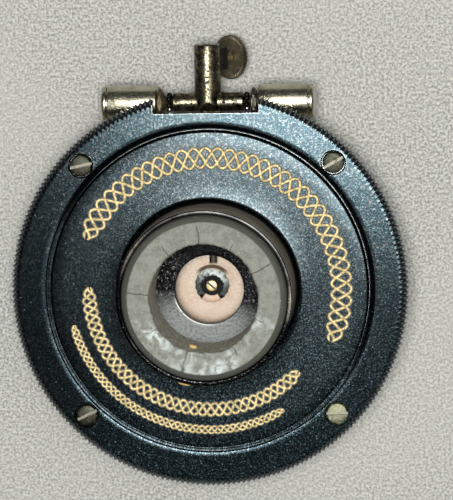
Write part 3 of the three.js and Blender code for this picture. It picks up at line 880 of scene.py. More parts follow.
# %% Ring screws
SLOT_DEGREES = (29, 12, 25, 0)
screw_section = profile(
    (0, RING_SEAT_Z - 4.2), (0.6, RING_SEAT_Z - 4.2), (0.85, RING_SEAT_Z - 3.9), (0.85, HEAD_BOTTOM_Z),
    (SCREW_HEAD_RADIUS, HEAD_BOTTOM_Z), (SCREW_HEAD_RADIUS, SCREW_TOP_Z - 0.3),
    arc((SCREW_HEAD_RADIUS - 0.26, SCREW_TOP_Z - 0.28), 0.26, 0, 80, 6),
    (0.9, SCREW_TOP_Z + 0.03), (0, SCREW_TOP_Z + 0.05),
)
ring_screws = zip(SCREW_BEARINGS, SLOT_DEGREES, (screw_steel, screw_steel, screw_steel, verdigris))
for number, (bearing, degrees, steel) in enumerate(ring_screws, 1):
    centre = screw_centre(bearing)
    low, high = (-3, -SLOT_HALF_WIDTH, SLOT_FLOOR_Z), (3, SLOT_HALF_WIDTH, SCREW_TOP_Z + 1)
    slot = block(low, high, turn_about("Z", degrees), centre)
    screw_mesh = boolean(lathe(screw_section, 72, at=centre), "DIFFERENCE", slot)
    piece(f"ring_screw_{number}", screw_mesh, steel, "worn_steel", f"case_screw_{number}")

# %% [markdown]
# ## Back plate and cup
# One turned piece: a flange, a flat face, and a thin-walled cup that holds the rubber. The fillet at
# the foot of the cup and the round on its rim catch the light as bright lines, so they are arcs.

# %% Back plate
PIN_BEARING = 255.3
PIN_Z = BACK_Z + 6.5
PIN_RADIUS = 0.62
plate_section = profile(
    (THROAT_RADIUS, PLATE_Z + 0.7), (THROAT_RADIUS + 0.7, PLATE_Z), (FLANGE_RADIUS, PLATE_Z),
    (FLANGE_RADIUS, RING_SEAT_Z - 0.02), (PLATE_RADIUS, RING_SEAT_Z - 0.02),
    arc((PLATE_RADIUS - 0.4, PLATE_TOP_Z - 0.4), 0.4, 0, 90, 8),
    (22.0, PLATE_TOP_Z), (19.0, PLATE_TOP_Z), (16.5, PLATE_TOP_Z),
    arc((CUP_RADIUS + 1.1, PLATE_TOP_Z + 1.1), 1.1, 270, 180, 12),
    (CUP_RADIUS, 18), arc((CUP_RADIUS - 0.2, CUP_TOP_Z - 0.2), 0.2, 0, 90, 6),
    arc((CUP_BORE + 0.12, CUP_TOP_Z - 0.12), 0.12, 90, 180, 4),
    (CUP_BORE, CUP_FLOOR_Z), (THROAT_RADIUS + 2.5, CUP_FLOOR_Z), (THROAT_RADIUS + 0.6, CUP_FLOOR_Z),
    arc((THROAT_RADIUS + 0.15, CUP_FLOOR_Z - 0.15), 0.15, 90, 180, 4),
)


def along_pin(points):
    """Lays a shape drawn about Z along the bayonet pin, outwards from the axis."""
    x, y, z = np.moveaxis(points, -1, 0)
    return tilted(np.stack([z, y, -x], -1), turn_about("Z", PIN_BEARING), (0, 0, PIN_Z))


pin_hole = rod(PIN_RADIUS + 0.06, 6, 20, 32, along_pin)
plate_mesh = boolean(lathe(plate_section, 320), "DIFFERENCE", pin_hole)
piece("plate_with_cup", plate_mesh, plate_blue, "blued", "back_plate", sharp=30)


# %% [markdown]
# ## Gilt ornament
# A plain woven border, such as engravers have always used, runs round the plate in three bands. Each
# strand is a thin raised line on a wider dark one: a small arch-shaped section carried along a wave
# round the axis. Painted by the material alone, it would have no edge to catch the light.


# %% Lines on the plate
def raised_line(path, width, height, base_z):
    """A line of arch-shaped section along a path (n, 2) of x and y: offsets along the path's normal."""
    ahead = np.gradient(path, axis=0)
    ahead /= np.linalg.norm(ahead, axis=1, keepdims=True)
    across = np.stack([-ahead[:, 1], ahead[:, 0]], -1)
    offsets = np.array([-0.5, -0.38, 0.0, 0.38, 0.5, 0.0]) * width
    heights = np.array([0.0, 0.75, 1.0, 0.75, 0.0, -0.3]) * height
    taper = np.ones(len(path))
    taper[[0, -1]] = 0.0
    xy = path[:, None, :] + (offsets[None, :, None] * taper[:, None, None]) * across[:, None, :]
    z = base_z + heights[None, :] * taper[:, None]
    return mesh_of(np.concatenate([xy, z[..., None]], -1), wrap_rows=False)


def wave(radius, swing, from_degrees, to_degrees, repeats, phase, steps=14):
    """x and y of r = radius + swing * sin(turns): a wave round the axis that dies away at both ends."""
    share = np.linspace(0, 1, repeats * steps + 1)
    swing = swing * np.clip(2 * repeats * np.minimum(share, 1 - share), 0.04, 1) ** 0.5
    t = np.radians(from_degrees + (to_degrees - from_degrees) * share)
    r = radius + swing * np.sin(2 * math.pi * repeats * share + phase)
    return np.stack([r * np.cos(t), r * np.sin(t)], -1)


BANDS = (
    # radius, swing, from, to, repeats, line width
    (19.95, 1.5, -24, 157, 12, 0.34),
    (18.2, 0.95, 178, 317, 12, 0.32),
    (21.3, 0.55, 194, 301, 14, 0.26),
)
STRANDS = 3
GILT_HEIGHT, GROOVE_HEIGHT, GILT_LIFT = 0.05, 0.016, 0.012
gilt_lines, groove_lines = [], []
for *band, width in BANDS:
    for strand in range(STRANDS):
        path = wave(*band, 2 * math.pi * strand / STRANDS)
        gilt_lines.append(raised_line(path, width, GILT_HEIGHT, PLATE_TOP_Z + GILT_LIFT))
        groove_lines.append(raised_line(path, 1.9 * width, GROOVE_HEIGHT, PLATE_TOP_Z))
print("lines on the plate:", len(gilt_lines))

# %% Gold paint and its dark groove
gold_paint, shader, place = begin("Gold paint")
patchy = ramp(noise(place, 2.2, 6.0, 0.7), 0.36, 0.6)
rubbed_off = ramp(noise(place, 7.0, 3.0), 0.62, 0.72)
colour = layered(blend(patchy, (0.26, 0.2, 0.08), (0.62, 0.5, 0.23)), (rubbed_off, (0.12, 0.1, 0.06)))
rough = 0.75 - patchy * 0.25
fill(shader, Base_Color=colour, Roughness=rough, Metallic=0.2, Normal=bump(noise(place, 8.0, 3.0), 20))

groove_black, shader, place = begin("Groove")
soot = noise(place, 3.0, 5.0)
colour = blend(soot, (0.008, 0.009, 0.01), (0.04, 0.04, 0.035))
fill(shader, Base_Color=colour, Roughness=ramp(soot, -0.4, 1.2))
piece("gilt_border", joined(*gilt_lines), gold_paint, "brass", sharp=60)
piece("gilt_border_groove", joined(*groove_lines), groove_black, "blued", sharp=60)

# %% [markdown]
# ## Rubber bush
# Old rubber goes hard and olive grey, cracks from the bore outwards and wears pale where the tone
# arm rubbed it. The cracks are real grooves: the face is a fine grid of radius against angle, and
# each crack lowers it along a wandering radial line. The same crack and scuff values are kept with
# the points, so that the rubber's colour follows them.

# %% Bush profile
BUSH_COLUMNS, FACE_ROWS = 1080, 44
SHOULDER_RADIUS = 11.35
FACE_SINK, CRACK_DEPTH = 0.05, 0.16
face_r = np.linspace(BORE_RADIUS + 0.28, SHOULDER_RADIUS, FACE_ROWS)
bush_section = profile(
    (BORE_RADIUS, CUP_FLOOR_Z), (BORE_RADIUS, 13.4), (BORE_RADIUS, 15), (BORE_RADIUS, 17), (BORE_RADIUS, 19),
    (BORE_RADIUS, 21), arc((BORE_RADIUS + 0.32, BUSH_FACE_Z - 0.32), 0.32, 180, 100, 5),
    np.column_stack([face_r, np.full(FACE_ROWS, BUSH_FACE_Z)]),
    arc((SHOULDER_RADIUS, BUSH_FACE_Z - 0.2), 0.2, 80, 55, 2),
    (11.75, BUSH_FACE_Z - 0.24), (12.05, BUSH_FACE_Z - 0.45),
    (BUSH_RADIUS - 0.1, CUP_TOP_Z - 0.05), (BUSH_RADIUS, CUP_TOP_Z - 0.25), (BUSH_RADIUS, 18),
    (BUSH_RADIUS, CUP_FLOOR_Z),
)
CRACKS = (  # bearing in degrees, length as a share of the face from the bore, width in mm
    (27, 1.0, 0.06), (94, 0.8, 0.06), (128, 0.55, 0.05), (175, 1.0, 0.06), (252, 1.1, 0.12), (338, 0.4, 0.05),
    (212, 0.35, 0.045), (300, 0.5, 0.045), (61, 0.3, 0.045),
)
print("bush profile:", len(bush_section), "points,", len(CRACKS), "cracks")


def soft_noise(t, r, seed, count=9, finest=23):
    """A smooth random field on the ring: a sum of waves round the axis and across the face."""
    dice = np.random.default_rng(seed)
    total = np.zeros(np.broadcast(t, r).shape)
    for turns in dice.integers(2, finest, count):
        total += np.sin(turns * t + dice.uniform(0, 6.28) + r * dice.uniform(-1.5, 1.5)) / math.sqrt(turns)
    return total / total.std()


def degrees_from(t, centre):
    """How far an angle is from a bearing in degrees, the short way round."""
    return (np.degrees(t) - centre + 180) % 360 - 180


def hill(t, centre, half_width):
    """A smooth hill of height 1 over a span of bearings, given in degrees."""
    return np.exp(-((degrees_from(t, centre) / half_width) ** 2))


def rising(value, start, over):
    """0 up to the start, then rising to 1 over a short span."""
    return np.clip((value - start) / over, 0, 1)


# %% Cracks, ragged mouth and scuffs
t = np.linspace(0, 2 * math.pi, BUSH_COLUMNS, endpoint=False)
r = np.repeat(bush_section[:, :1], BUSH_COLUMNS, 1)
z = np.repeat(bush_section[:, 1:], BUSH_COLUMNS, 1)
t = np.broadcast_to(t, r.shape)
on_face = rising(z, BUSH_FACE_Z - 0.5, 0.35)
crack = np.zeros_like(r)
for number, (bearing, length, width) in enumerate(CRACKS):
    wander = soft_noise(np.zeros_like(r), r * 3.1, 40 + number, 6) * 0.35
    across = np.radians(degrees_from(t, bearing + wander)) * r
    end_r = BORE_RADIUS + length * (SHOULDER_RADIUS - BORE_RADIUS) + 0.3
    reach = np.clip((end_r - r) / 0.5, 0, 1)
    crack = np.maximum(crack, np.exp(-((across / width) ** 2)) * reach * on_face)
lift = 0.018 * soft_noise(t, r, 7) + 0.008 * soft_noise(t, r * 4, 8, 14, 90)
z = z + on_face * (lift - FACE_SINK) - CRACK_DEPTH * crack
mouth = np.clip(1 - (r - BORE_RADIUS) / 0.45, 0, 1) * rising(z, 21, 1.5)
r = r + mouth * (0.05 * soft_noise(t, r * 0, 11, 16, 60) + 0.16 * hill(t, 238, 14) + 0.1 * hill(t, 290, 22))
shoulder = rising(r, SHOULDER_RADIUS - 0.1, 0.3) * rising(z, CUP_TOP_Z, 0.2)
r = r + shoulder * 0.04 * soft_noise(t, r * 0, 19, 14, 70)
z = np.minimum(z, BUSH_FACE_Z)
scuff = np.clip(hill(t, 218, 22) + hill(t, 280, 32) + 0.6 * hill(t, 335, 12), 0, 1)
scuff = scuff * (0.6 + 0.4 * np.clip(soft_noise(t, r * 2, 29, 14, 60), -1, 1))
dark_band = rising(r, SHOULDER_RADIUS - 0.12, 0.2)
bush_points = np.stack([r * np.cos(t), r * np.sin(t), z], -1)
bush_mesh = mesh_of(bush_points, values={"crack": crack, "scuff": scuff, "shoulder": dark_band})
bush_mesh = boolean(bush_mesh, "DIFFERENCE", rod(PIN_RADIUS + 0.03, 4, 20, 32, along_pin))
print("bush: deepest crack", round(float(CRACK_DEPTH * crack.max()), 3), "mm")

# %% Aged rubber
rubber, shader, place = begin("Aged rubber")
cracked, scuffed, on_shoulder = (
    add(place.tree, "ShaderNodeAttribute", output="Fac", attribute_name=title)
    for title in ("crack", "scuff", "shoulder")
)
in_bore = ramp(place.parts()[2], BUSH_FACE_Z - 0.25, BUSH_FACE_Z - 0.9)
mottle = noise(place, 0.9, 7.0, 0.65)
grain = ramp(noise(place, 3.2, 4.0, 0.75), 0.5, 0.68)
patch = ramp(noise(place, 0.7, 5.0, 0.6, 0.6), 0.42, 0.62)
specks = use(dust_group, place, Spacing=0.5, Amount=0.35)
colour = layered(
    clouded(mottle, 0.35, 0.65, (0.088, 0.093, 0.075), (0.165, 0.171, 0.143)),
    (grain * 0.4, (0.24, 0.252, 0.215)),
    (scuffed * patch, (0.4, 0.45, 0.44)),
    (in_bore, clouded(noise(place, 1.6, 5.0, 0.7), 0.4, 0.62, (0.26, 0.25, 0.2), (0.58, 0.56, 0.47))),
    (on_shoulder, (0.042, 0.046, 0.036)),
    (cracked * 0.5, (0.03, 0.03, 0.025)),
    (specks * 0.5, (0.55, 0.56, 0.5)),
)
grainy = bump(noise(place, 4.0, 5.0, 0.6), 30)
fill(shader, Base_Color=colour, Roughness=mottle * 0.4 + 0.45, Normal=grainy)
piece("rubber_bush", bush_mesh, rubber, "aged_rubber", "tone_arm_bush", sharp=50)

# %% [markdown]
# ## Bayonet pin
# A brass pin through the cup and the bush. Its end in the bore locks into the tone arm's slot. It is
# a lathe shape like the screws, drawn upright and then laid along its bearing, so that both of its
# ends are round where they show.

# %% Bayonet pin
inner_end = BORE_RADIUS - 0.45
pin_section = profile(
    (0, inner_end), (0.35, inner_end), arc((PIN_RADIUS - 0.2, inner_end + 0.2), 0.2, 270, 360, 4),
    (PIN_RADIUS, CUP_RADIUS + 0.15), (0.98, CUP_RADIUS + 0.15),
    arc((0.7, CUP_RADIUS + 0.4), 0.3, 0, 90, 5), (0.4, CUP_RADIUS + 0.72), (0, CUP_RADIUS + 0.72),
)
piece("brass_pin", lathe(pin_section, 40, along_pin), pin_brass, "brass", "bayonet_pin")

# %% [markdown]
# ## Mica diaphragm and its middle
# Mica is split, not cast: a stiff, springy sheet that is nearly clear, with a pink tint and fine
# curved flaws. Glass with transmission could show what lies below, but it would bend and darken it.
# A thin disc with a low Alpha shows the arm as it is, most clearly just over the arm. A brass screw,
# a black washer and a ring of wax hold the arm to it.

# %% Mica
mica_section = profile(
    (MIDDLE_HOLE_RADIUS, MICA_Z), (4, MICA_Z), (10, MICA_Z), (18, MICA_Z), (MICA_RADIUS - 0.1, MICA_Z),
    (MICA_RADIUS, MICA_Z + 0.06), (MICA_RADIUS, MICA_TOP_Z - 0.06), (MICA_RADIUS - 0.1, MICA_TOP_Z),
    (18, MICA_TOP_Z), (10, MICA_TOP_Z), (4, MICA_TOP_Z), (MIDDLE_HOLE_RADIUS, MICA_TOP_Z),
)
ARM_X, ARM_END_Y = 0.27, 3.1
# Where the painted shadow arc lies round the wax.
SHADOW_ARC_RADIUS, SHADOW_ARC_BEARING = 2.88, 88.0
mica, shader, place = begin("Mica")
flaws = noise(place, 1.4, 6.0, 0.6, 2.2)
threads = within(flaws, 0.5, 0.03, 0.0)
cloud = noise(place, 0.6, 3.0)
radius, bearing = from_axis(place)[:2]
# Painted shadow: a dark arc round the wax towards the needle, for the shade that the wax and washers cast on
# the table below.
shadow_arc = within(radius, SHADOW_ARC_RADIUS, 0.45, 0.2) * within(bearing, SHADOW_ARC_BEARING, 75.0, 35.0)
colour = layered(
    blend(cloud, (1.0, 0.69, 0.46), (1.0, 0.79, 0.59)),
    (threads * 0.35, (0.6, 0.36, 0.24)),
    (shadow_arc * 0.95, (0.05, 0.037, 0.021)),
)
x, y = place.parts()[:2]
from_arm = abs(x - ARM_X)
along_arm = ramp(from_arm, 0.68, 0.58) - ramp(from_arm, 0.4, 0.15) * 0.15
along_arm = along_arm * ramp(y - CASE_AXIS_MM, ARM_END_Y, ARM_END_Y + 0.4)
# Where the painted shadow lies, the sheet is less clear and less glossy.
fill(
    shader, Base_Color=colour, Roughness=cloud * 0.4, Specular_IOR_Level=0.5 - shadow_arc * 0.5,
    Alpha=(threads * 0.08 + 0.2 + shadow_arc * 0.5) * (1.0 - along_arm), Normal=bump(flaws, 10),
)
piece("mica_sheet", lathe(mica_section, 144), mica, "mica", "mica_diaphragm", body="diaphragm")

# %% Black fibre and wax
fibre, shader, place = begin("Black fibre")
fuzz = noise(place, 6.0, 5.0)
colour = blend(fuzz, (0.004, 0.004, 0.004), (0.015, 0.014, 0.012))
rough = ramp(fuzz, -1.5, 0.8)
fill(shader, Base_Color=colour, Roughness=rough, Specular_IOR_Level=0.15, Normal=bump(fuzz, 20))

WAX_FOOT, WAX_LEGS = -93.0, 42.0
wax, shader, place = begin("Wax")
lumps = noise(place, 1.7, 5.0, 0.6)
radius, bearing = from_axis(place)[:2]
# Painted light: the wax is pale on the side towards the needle, which the lamps light, and dark on its other
# sides.
lit_towards_needle = within(bearing, 80.0, 95.0, 30.0)
from_foot = abs(bearing - WAX_FOOT)
wandering = radius + lumps * 1.4 + lit_towards_needle * 0.3
open_below = ramp(from_foot, WAX_LEGS, WAX_LEGS - 10) * ramp(radius, 1.45, 1.6)
legs = within(from_foot, WAX_LEGS, 9.0, 5.0) * ramp(radius, 2.55, 2.4)
black = (ramp(wandering, 2.8, 2.5) * (1.0 - open_below)).at_least(legs)
colour = clouded(lumps, 0.38, 0.62, (0.16, 0.2, 0.2), (0.5, 0.54, 0.52))
# Dark wax away from the lit side: painted shade.
colour = layered(
    blend(lit_towards_needle, (0.05, 0.062, 0.062), colour),
    (open_below, (0.5, 0.37, 0.28)),
    (black, (0.003, 0.003, 0.003)),
)
rough = lumps * 0.4 + 0.25
fill(shader, Base_Color=colour, Roughness=rough, Specular_IOR_Level=0.2, Normal=bump(lumps, 100))


# %% Washers, wax and screw
def washer(outer, from_z):
    """A washer with slightly rounded outer corners."""
    top = from_z + WASHER_THICKNESS
    section = profile(
        (MIDDLE_HOLE_RADIUS, from_z), (outer - 0.05, from_z), (outer, from_z + 0.05),
        arc((outer - 0.08, top - 0.08), 0.08, 0, 90, 3), (MIDDLE_HOLE_RADIUS, top),
    )
    return lathe(section, 64)


def dripped(r, t):
    """The wax was dripped on by hand, so its outer edge wanders."""
    return r + (r > 1.7) * (0.05 * np.sin(3 * t + 1) + 0.05 * np.sin(17 * t + 2.2)) * (r - 1.5)


wax_section = profile(
    (1.47, 0), (2.6, 0), (2.52, 0.14), (2.36, 0.26), (2.15, 0.36), (1.95, 0.4), (1.72, 0.38), (1.48, 0.27)
)
middle_screw = profile(
    (0, ARM_PAD_Z - 1.1), (0.42, ARM_PAD_Z - 1.1), (0.5, ARM_PAD_Z - 1.0), (0.5, HEAD_SEAT_Z),
    (0.88, HEAD_SEAT_Z), (0.92, HEAD_SEAT_Z + 0.05), (0.92, HEAD_SEAT_Z + 0.33),
    arc((0.7, HEAD_SEAT_Z + 0.33), 0.22, 0, 80, 6), (0.3, HEAD_SEAT_Z + 0.59), (0, HEAD_SEAT_Z + 0.6),
)
MIDDLE_SLOT_DEGREES, MIDDLE_SLOT_HALF_WIDTH = -40, 0.17
low, high = (-2, -MIDDLE_SLOT_HALF_WIDTH, HEAD_SEAT_Z + 0.15), (2, MIDDLE_SLOT_HALF_WIDTH, HEAD_SEAT_Z + 2)
slot = block(low, high, turn_about("Z", MIDDLE_SLOT_DEGREES))
middle_mesh = boolean(lathe(middle_screw, 60), "DIFFERENCE", slot)
wax_mesh = lathe(wax_section + [0, MICA_TOP_Z], 120, radius_of=dripped)
piece("front_washer_black", washer(1.5, ARM_PAD_Z + 0.05), fibre, "fibre", "front_washer", body="diaphragm")
piece("rear_washer_black", washer(1.45, MICA_TOP_Z), fibre, "fibre", "rear_washer", body="diaphragm")
piece("wax_ring", wax_mesh, wax, "wax", "wax_seal", body="diaphragm")
piece("middle_screw", middle_mesh, screw_brass, "brass", "diaphragm_screw", body="diaphragm")

# %% [markdown]
# ## Pivots
# A barrel on each side holds a cone-pointed screw, locked by a hexagon nut, and a domed cap closes
# the outer end. Between the cone and the cup in the cross bar runs a ring of seven small balls. Both
# sides are alike, so each profile is written once and laid to the right and to the left. The nut needs
# no cutting: it is a lathe shape whose radius is held down to the hexagon's.

# %% Barrels, caps and nuts
NUT_RADIUS = 2.15
rim = BARREL_END + 0.12
barrel_section = profile(
    (PIVOT_BORE, BARREL_START), arc((BARREL_RADIUS - 0.2, BARREL_START + 0.2), 0.2, 270, 360, 4),
    (BARREL_RADIUS, 11), arc((BARREL_RADIUS - 0.12, BARREL_END - 0.12), 0.12, 0, 90, 3),
    (2.1, BARREL_END), (2.1, BARREL_END - 2.1), (PIVOT_BORE, BARREL_END - 2.1),
)
cap_section = profile(
    (0, BARREL_END - 1.6), (1.9, BARREL_END - 1.6), (2.0, BARREL_END - 1.5), (2.0, rim),
    arc((BARREL_RADIUS - 0.14, rim + 0.14), 0.14, 270, 360, 3),
    arc((BARREL_RADIUS - 0.5, rim + 0.3), 0.5, 0, 55, 5),
    (1.6, rim + 0.86), (1.0, rim + 1.0), (0.4, rim + 1.05), (0, rim + 1.06),
)
cone_section = profile(
    (0, 5.46), (0.3, 5.76), (1.2, 6.66), (1.3, 6.86), (1.3, BARREL_END - 2.4), (0, BARREL_END - 2.4)
)
nut_section = profile(
    (PIVOT_BORE, 0), (1.6, 0), (1.9, 0.16), (NUT_RADIUS, 0.36), (NUT_RADIUS, 0.55), (1.9, 0.74), (1.6, 0.9),
    (PIVOT_BORE, 0.9),
)
ACROSS_FLATS = 2 * NUT_RADIUS * math.cos(math.pi / 6)
print("lock nut", round(ACROSS_FLATS, 2), "mm across its flats")


def hexagon(r, t):
    """The lesser of the turned radius and the hexagon's: its flat's distance / cos(angle from the flat)."""
    from_flat = (t + math.pi / 6) % (math.pi / 3) - math.pi / 6
    return np.minimum(r, ACROSS_FLATS / 2 / np.cos(from_flat))


# %% Both pivots
BALL_RADIUS, BALL_PITCH, BALL_X, BALLS = 0.42, 1.1, 5.85, 7
# Painted glint: this ball is bright clean steel, the others dark and greasy.
GLINT_BALL = 5
LEFT_NUT_X, RIGHT_NUT_X = 6.82, 6.5
latitude = np.linspace(-math.pi / 2, math.pi / 2, 15)
ball_section = BALL_RADIUS * np.stack([np.cos(latitude), np.sin(latitude)], -1)
for name, lay, ball_x, nut_x, nut_steel in (
    ("left", to_left, -BALL_X, LEFT_NUT_X, rusty_steel), ("right", to_right, BALL_X, RIGHT_NUT_X, worn_steel)
):
    piece(f"{name}_barrel", lathe(barrel_section, 112, lay), nickel, "nickel", f"pivot_barrel_{name}")
    piece(f"{name}_cap", lathe(cap_section, 112, lay), nickel, "nickel", f"pivot_cap_{name}")
    piece(f"{name}_screw", lathe(cone_section, 112, lay), worn_steel, "worn_steel", f"pivot_screw_{name}")
    nut_mesh = lathe(nut_section + [0, nut_x], 120, lay, radius_of=hexagon)
    piece(f"{name}_nut", nut_mesh, nut_steel, "worn_steel", f"pivot_lock_nut_{name}", sharp=22)
    for number in range(1, BALLS + 1):
        t = 2 * math.pi * (number - 1) / BALLS - math.pi / 4
        centre = (ball_x, PIVOT_Y + BALL_PITCH * math.cos(t), PIVOT_Z + BALL_PITCH * math.sin(t))
        steel = glint_ball_steel if number == GLINT_BALL else greasy_steel
        piece(f"{name}_ball_{number}", lathe(ball_section, 24, at=centre), steel, "worn_steel",
              f"pivot_ball_{name}_{number}", body=f"balls_{name}")

# %% [markdown]
# ## Stylus bar
# One forging: a tube for the needle, a cross bar with a ball cup in each end, a block where the
# needle screw enters, and a flat arm that cranks under the mica. The separate forms are joined,
# bored, and then wrapped in a fine skin of small squares and smoothed, which gives the soft plated
# edges of a forging that has been polished.

# %% Chuck and cross bar
chuck_start = PIVOT_Y - 1.15
chuck_section = profile(
    (0, chuck_start), (CHUCK_RADIUS, chuck_start), (CHUCK_RADIUS, CHUCK_END_Y - 0.3),
    arc((CHUCK_RADIUS - 0.28, CHUCK_END_Y - 0.28), 0.28, 10, 90, 4), (0, CHUCK_END_Y),
)
cross_half = profile(
    (0, -0.5), (CROSS_BAR_RADIUS, -0.5), (CROSS_BAR_RADIUS, 5.36), (1.36, 5.4), (0.5, 4.54), (0, 4.54)
)
NEEDLE_SCREW_LEAN, FOOT_SLOPE = 38, 30  # degrees
lean = turn_about("Y", 180 - NEEDLE_SCREW_LEAN)


def along_needle_screw(points):
    """Lays a shape drawn about Z along the needle screw, from the chuck's axis outwards."""
    return tilted(points, lean, (0, NEEDLE_SCREW_Y, PIVOT_Z))


boss = block((-1.5, -1.7, 0), (1.5, 1.7, 3), lean, (0, NEEDLE_SCREW_Y, PIVOT_Z))
foot_turn = turn_about("X", FOOT_SLOPE)
slope = block((-3, -4, 0), (3, 0, 3), foot_turn, (0, PIVOT_Y, PIVOT_Z + CHUCK_RADIUS))
halves = [lathe(cross_half, 96, lay) for lay in (to_right, to_left)]
bar_mesh = boolean(lathe(chuck_section, 128, to_chuck), "UNION", *halves, boss)
NEEDLE_HOLE_RADIUS, NEEDLE_HOLE_DEPTH, SCREW_HOLE_RADIUS = 0.8, 7.5, 1.08
needle_hole = rod(NEEDLE_HOLE_RADIUS, CHUCK_END_Y - NEEDLE_HOLE_DEPTH, CHUCK_END_Y + 1, 48, to_chuck)
screw_hole = rod(SCREW_HOLE_RADIUS, 0, 6, 48, along_needle_screw)
bar_mesh = boolean(bar_mesh, "DIFFERENCE", slope, needle_hole, screw_hole)
print("chuck and cross bar, bored:", len(bar_mesh.polygons), "faces")

# %% Arm
RUN_TOP_Z, RUN_Z = 2.6, 1.4
PAD_LOW_Z = ARM_PAD_Z - 0.8
foot = carried(
    [(28.85, PIVOT_Z), (chuck_start, PIVOT_Z), (chuck_start, RUN_Z + 0.1), (27.6, RUN_Z),
     (28.85, RUN_Z + 1.2)],
    -1.55, 1.55,
)
crank = carried(
    [(4.4, RUN_TOP_Z), (2.4, ARM_PAD_Z), (1.2, ARM_PAD_Z), (1.2, PAD_LOW_Z), (1.75, PAD_LOW_Z), (3.5, RUN_Z),
     (4.4, RUN_Z)],
    -0.52, 0.52,
)
RUN_HALF_WIDTHS = ((3.3, 0.55), (4.6, 0.55), (19, 0.82), (25, 1.5), (27.4, 1.58))  # y, half width
run = loft([
    [(-half, y, RUN_Z), (half, y, RUN_Z), (half, y, RUN_TOP_Z), (-half, y, RUN_TOP_Z)]
    for y, half in RUN_HALF_WIDTHS
])


def pad_line(radius, tip_x):
    """One line of the horseshoe: a tip, a straight side, an arc round the screw, and the same mirrored."""
    turn = np.radians(np.linspace(-55, 235, 49))[9:-9]
    bend = radius * np.stack([np.cos(turn), np.sin(turn)], -1)
    return profile((tip_x, -2.0), (tip_x, -0.3), bend, (-tip_x, -0.3), (-tip_x, -2.0))


inner, outer = pad_line(0.62, 1.1), pad_line(1.6, 1.6)
corners = ((inner, PAD_LOW_Z), (outer, PAD_LOW_Z), (outer, ARM_PAD_Z), (inner, ARM_PAD_Z))
pad = loft(np.stack([np.column_stack([line, np.full(len(line), z)]) for line, z in corners], 1))
print("arm: run from", RUN_Z, "to", RUN_TOP_Z, "mm, pad from", PAD_LOW_Z, "to", ARM_PAD_Z, "mm")


# %% Skinning the stylus bar
def skinned(mesh, voxel, passes):
    """Wraps a mesh in a skin of small squares and smooths it, for the soft edges of polished metal."""
    blank = in_scene("blank", mesh)
    remesh = blank.modifiers.new("skin", "REMESH")
    remesh.mode = "VOXEL"
    remesh.voxel_size = voxel / 1000
    smooth = blank.modifiers.new("polish", "SMOOTH")
    smooth.iterations = passes
    smooth.factor = 0.5
    return baked(blank)


bar_mesh = skinned(joined(bar_mesh, foot, run, crank, pad), voxel=0.1, passes=5)
piece("forged_stylus_bar", bar_mesh, dark_nickel, "dark_nickel", "stylus_bar", body="stylus", sharp=60)

# %% [markdown]
# ## Needle screw
# The thumb screw that pins the needle. Its head is a knurled disc, rusty and rubbed, with a shallow
# dish in each face. It is made as the ring is, by a radius that changes with the angle, but with 52
# finer teeth. Head and shank are two lathe shapes on one slanting axis.

# %% Needle screw
HEAD_LOW, HEAD_HIGH, HEAD_RADIUS = 4.77, 5.67, 3.35
head_section = profile(
    (0.8, HEAD_LOW + 0.07), (1.5, HEAD_LOW + 0.06), (2.3, HEAD_LOW + 0.03),
    (2.9, HEAD_LOW), arc((HEAD_RADIUS - 0.2, HEAD_LOW + 0.2), 0.2, 270, 360, 4),
    arc((HEAD_RADIUS - 0.2, HEAD_HIGH - 0.2), 0.2, 0, 90, 4), (2.9, HEAD_HIGH),
    (2.4, HEAD_HIGH - 0.06), (0.8, HEAD_HIGH - 0.1),
)
shank_section = profile(
    (0, 0.15), (0.5, 0.15), (1.0, 0.65), (1.0, HEAD_LOW - 0.12), (0.93, HEAD_LOW - 0.05),
    (0.7, HEAD_LOW - 0.05), (0.7, HEAD_HIGH - 0.1), (0, HEAD_HIGH - 0.1),
)
teeth = knurl(HEAD_TEETH, 0.34, 2.85, 0.3, math.pi / HEAD_TEETH - math.pi / 2)
head_mesh = lathe(head_section, HEAD_TEETH * 8, along_needle_screw, radius_of=teeth)
shank_mesh = lathe(shank_section, 56, along_needle_screw)
piece("thumb_screw_head", head_mesh, bronze, "rusty_steel", "needle_screw_head", body="needle_screw")
piece("thumb_screw_shank", shank_mesh, bronze, "worn_steel", "needle_screw_shank", body="needle_screw")

# %% [markdown]
# ## Front case
# The case is a cast and turned shell, plated. It shows from the side, under the ring, and in the
# notch, where the two barrels lie in saddles. It is turned finely and then milled as the real one is.

# %% Front case
OPENING, LIP, WALL, GASKET_SEAT = 20.4, 3.6, 29.0, 24.3
case_section = profile(
    (OPENING, LIP), arc((OPENING + 1.7, 1.7), 1.7, 180, 270, 8), arc((WALL - 2.4, 2.4), 2.4, -90, 0, 10),
    (WALL, 6), (WALL, RING_SEAT_Z - 0.1), (WALL - 0.1, RING_SEAT_Z), (FLANGE_RADIUS + 0.2, RING_SEAT_Z),
    (FLANGE_RADIUS + 0.2, PLATE_Z), (GASKET_SEAT, PLATE_Z), (GASKET_SEAT, LIP),
)
SADDLE = [(24.8, 2.6), (28.7, 2.6), (30.3, 4.3), (30.3, 5.2), (24.8, 5.2)]
SADDLE_START, SADDLE_END = 8.3, 13.4
saddles = (carried(SADDLE, SADDLE_START, SADDLE_END), carried(SADDLE, -SADDLE_END, -SADDLE_START))
case_mesh = boolean(
    boolean(lathe(case_section, 240), "UNION", *saddles), "DIFFERENCE",
    *(rod(BARREL_RADIUS + 0.06, BARREL_START - 0.3, BARREL_END + 2, 96, lay) for lay in (to_left, to_right)),
    block((-SADDLE_START, 25.2, -1), (SADDLE_START, BEYOND, BACK_Z)),
    block((-2, OPENING - 2, -1), (2, 32, 3)),
    *(
        rod(TAPPED_RADIUS, RING_SEAT_Z - 4.6, BACK_Z, 32, at=screw_centre(bearing))
        for bearing in SCREW_BEARINGS
    ),
)
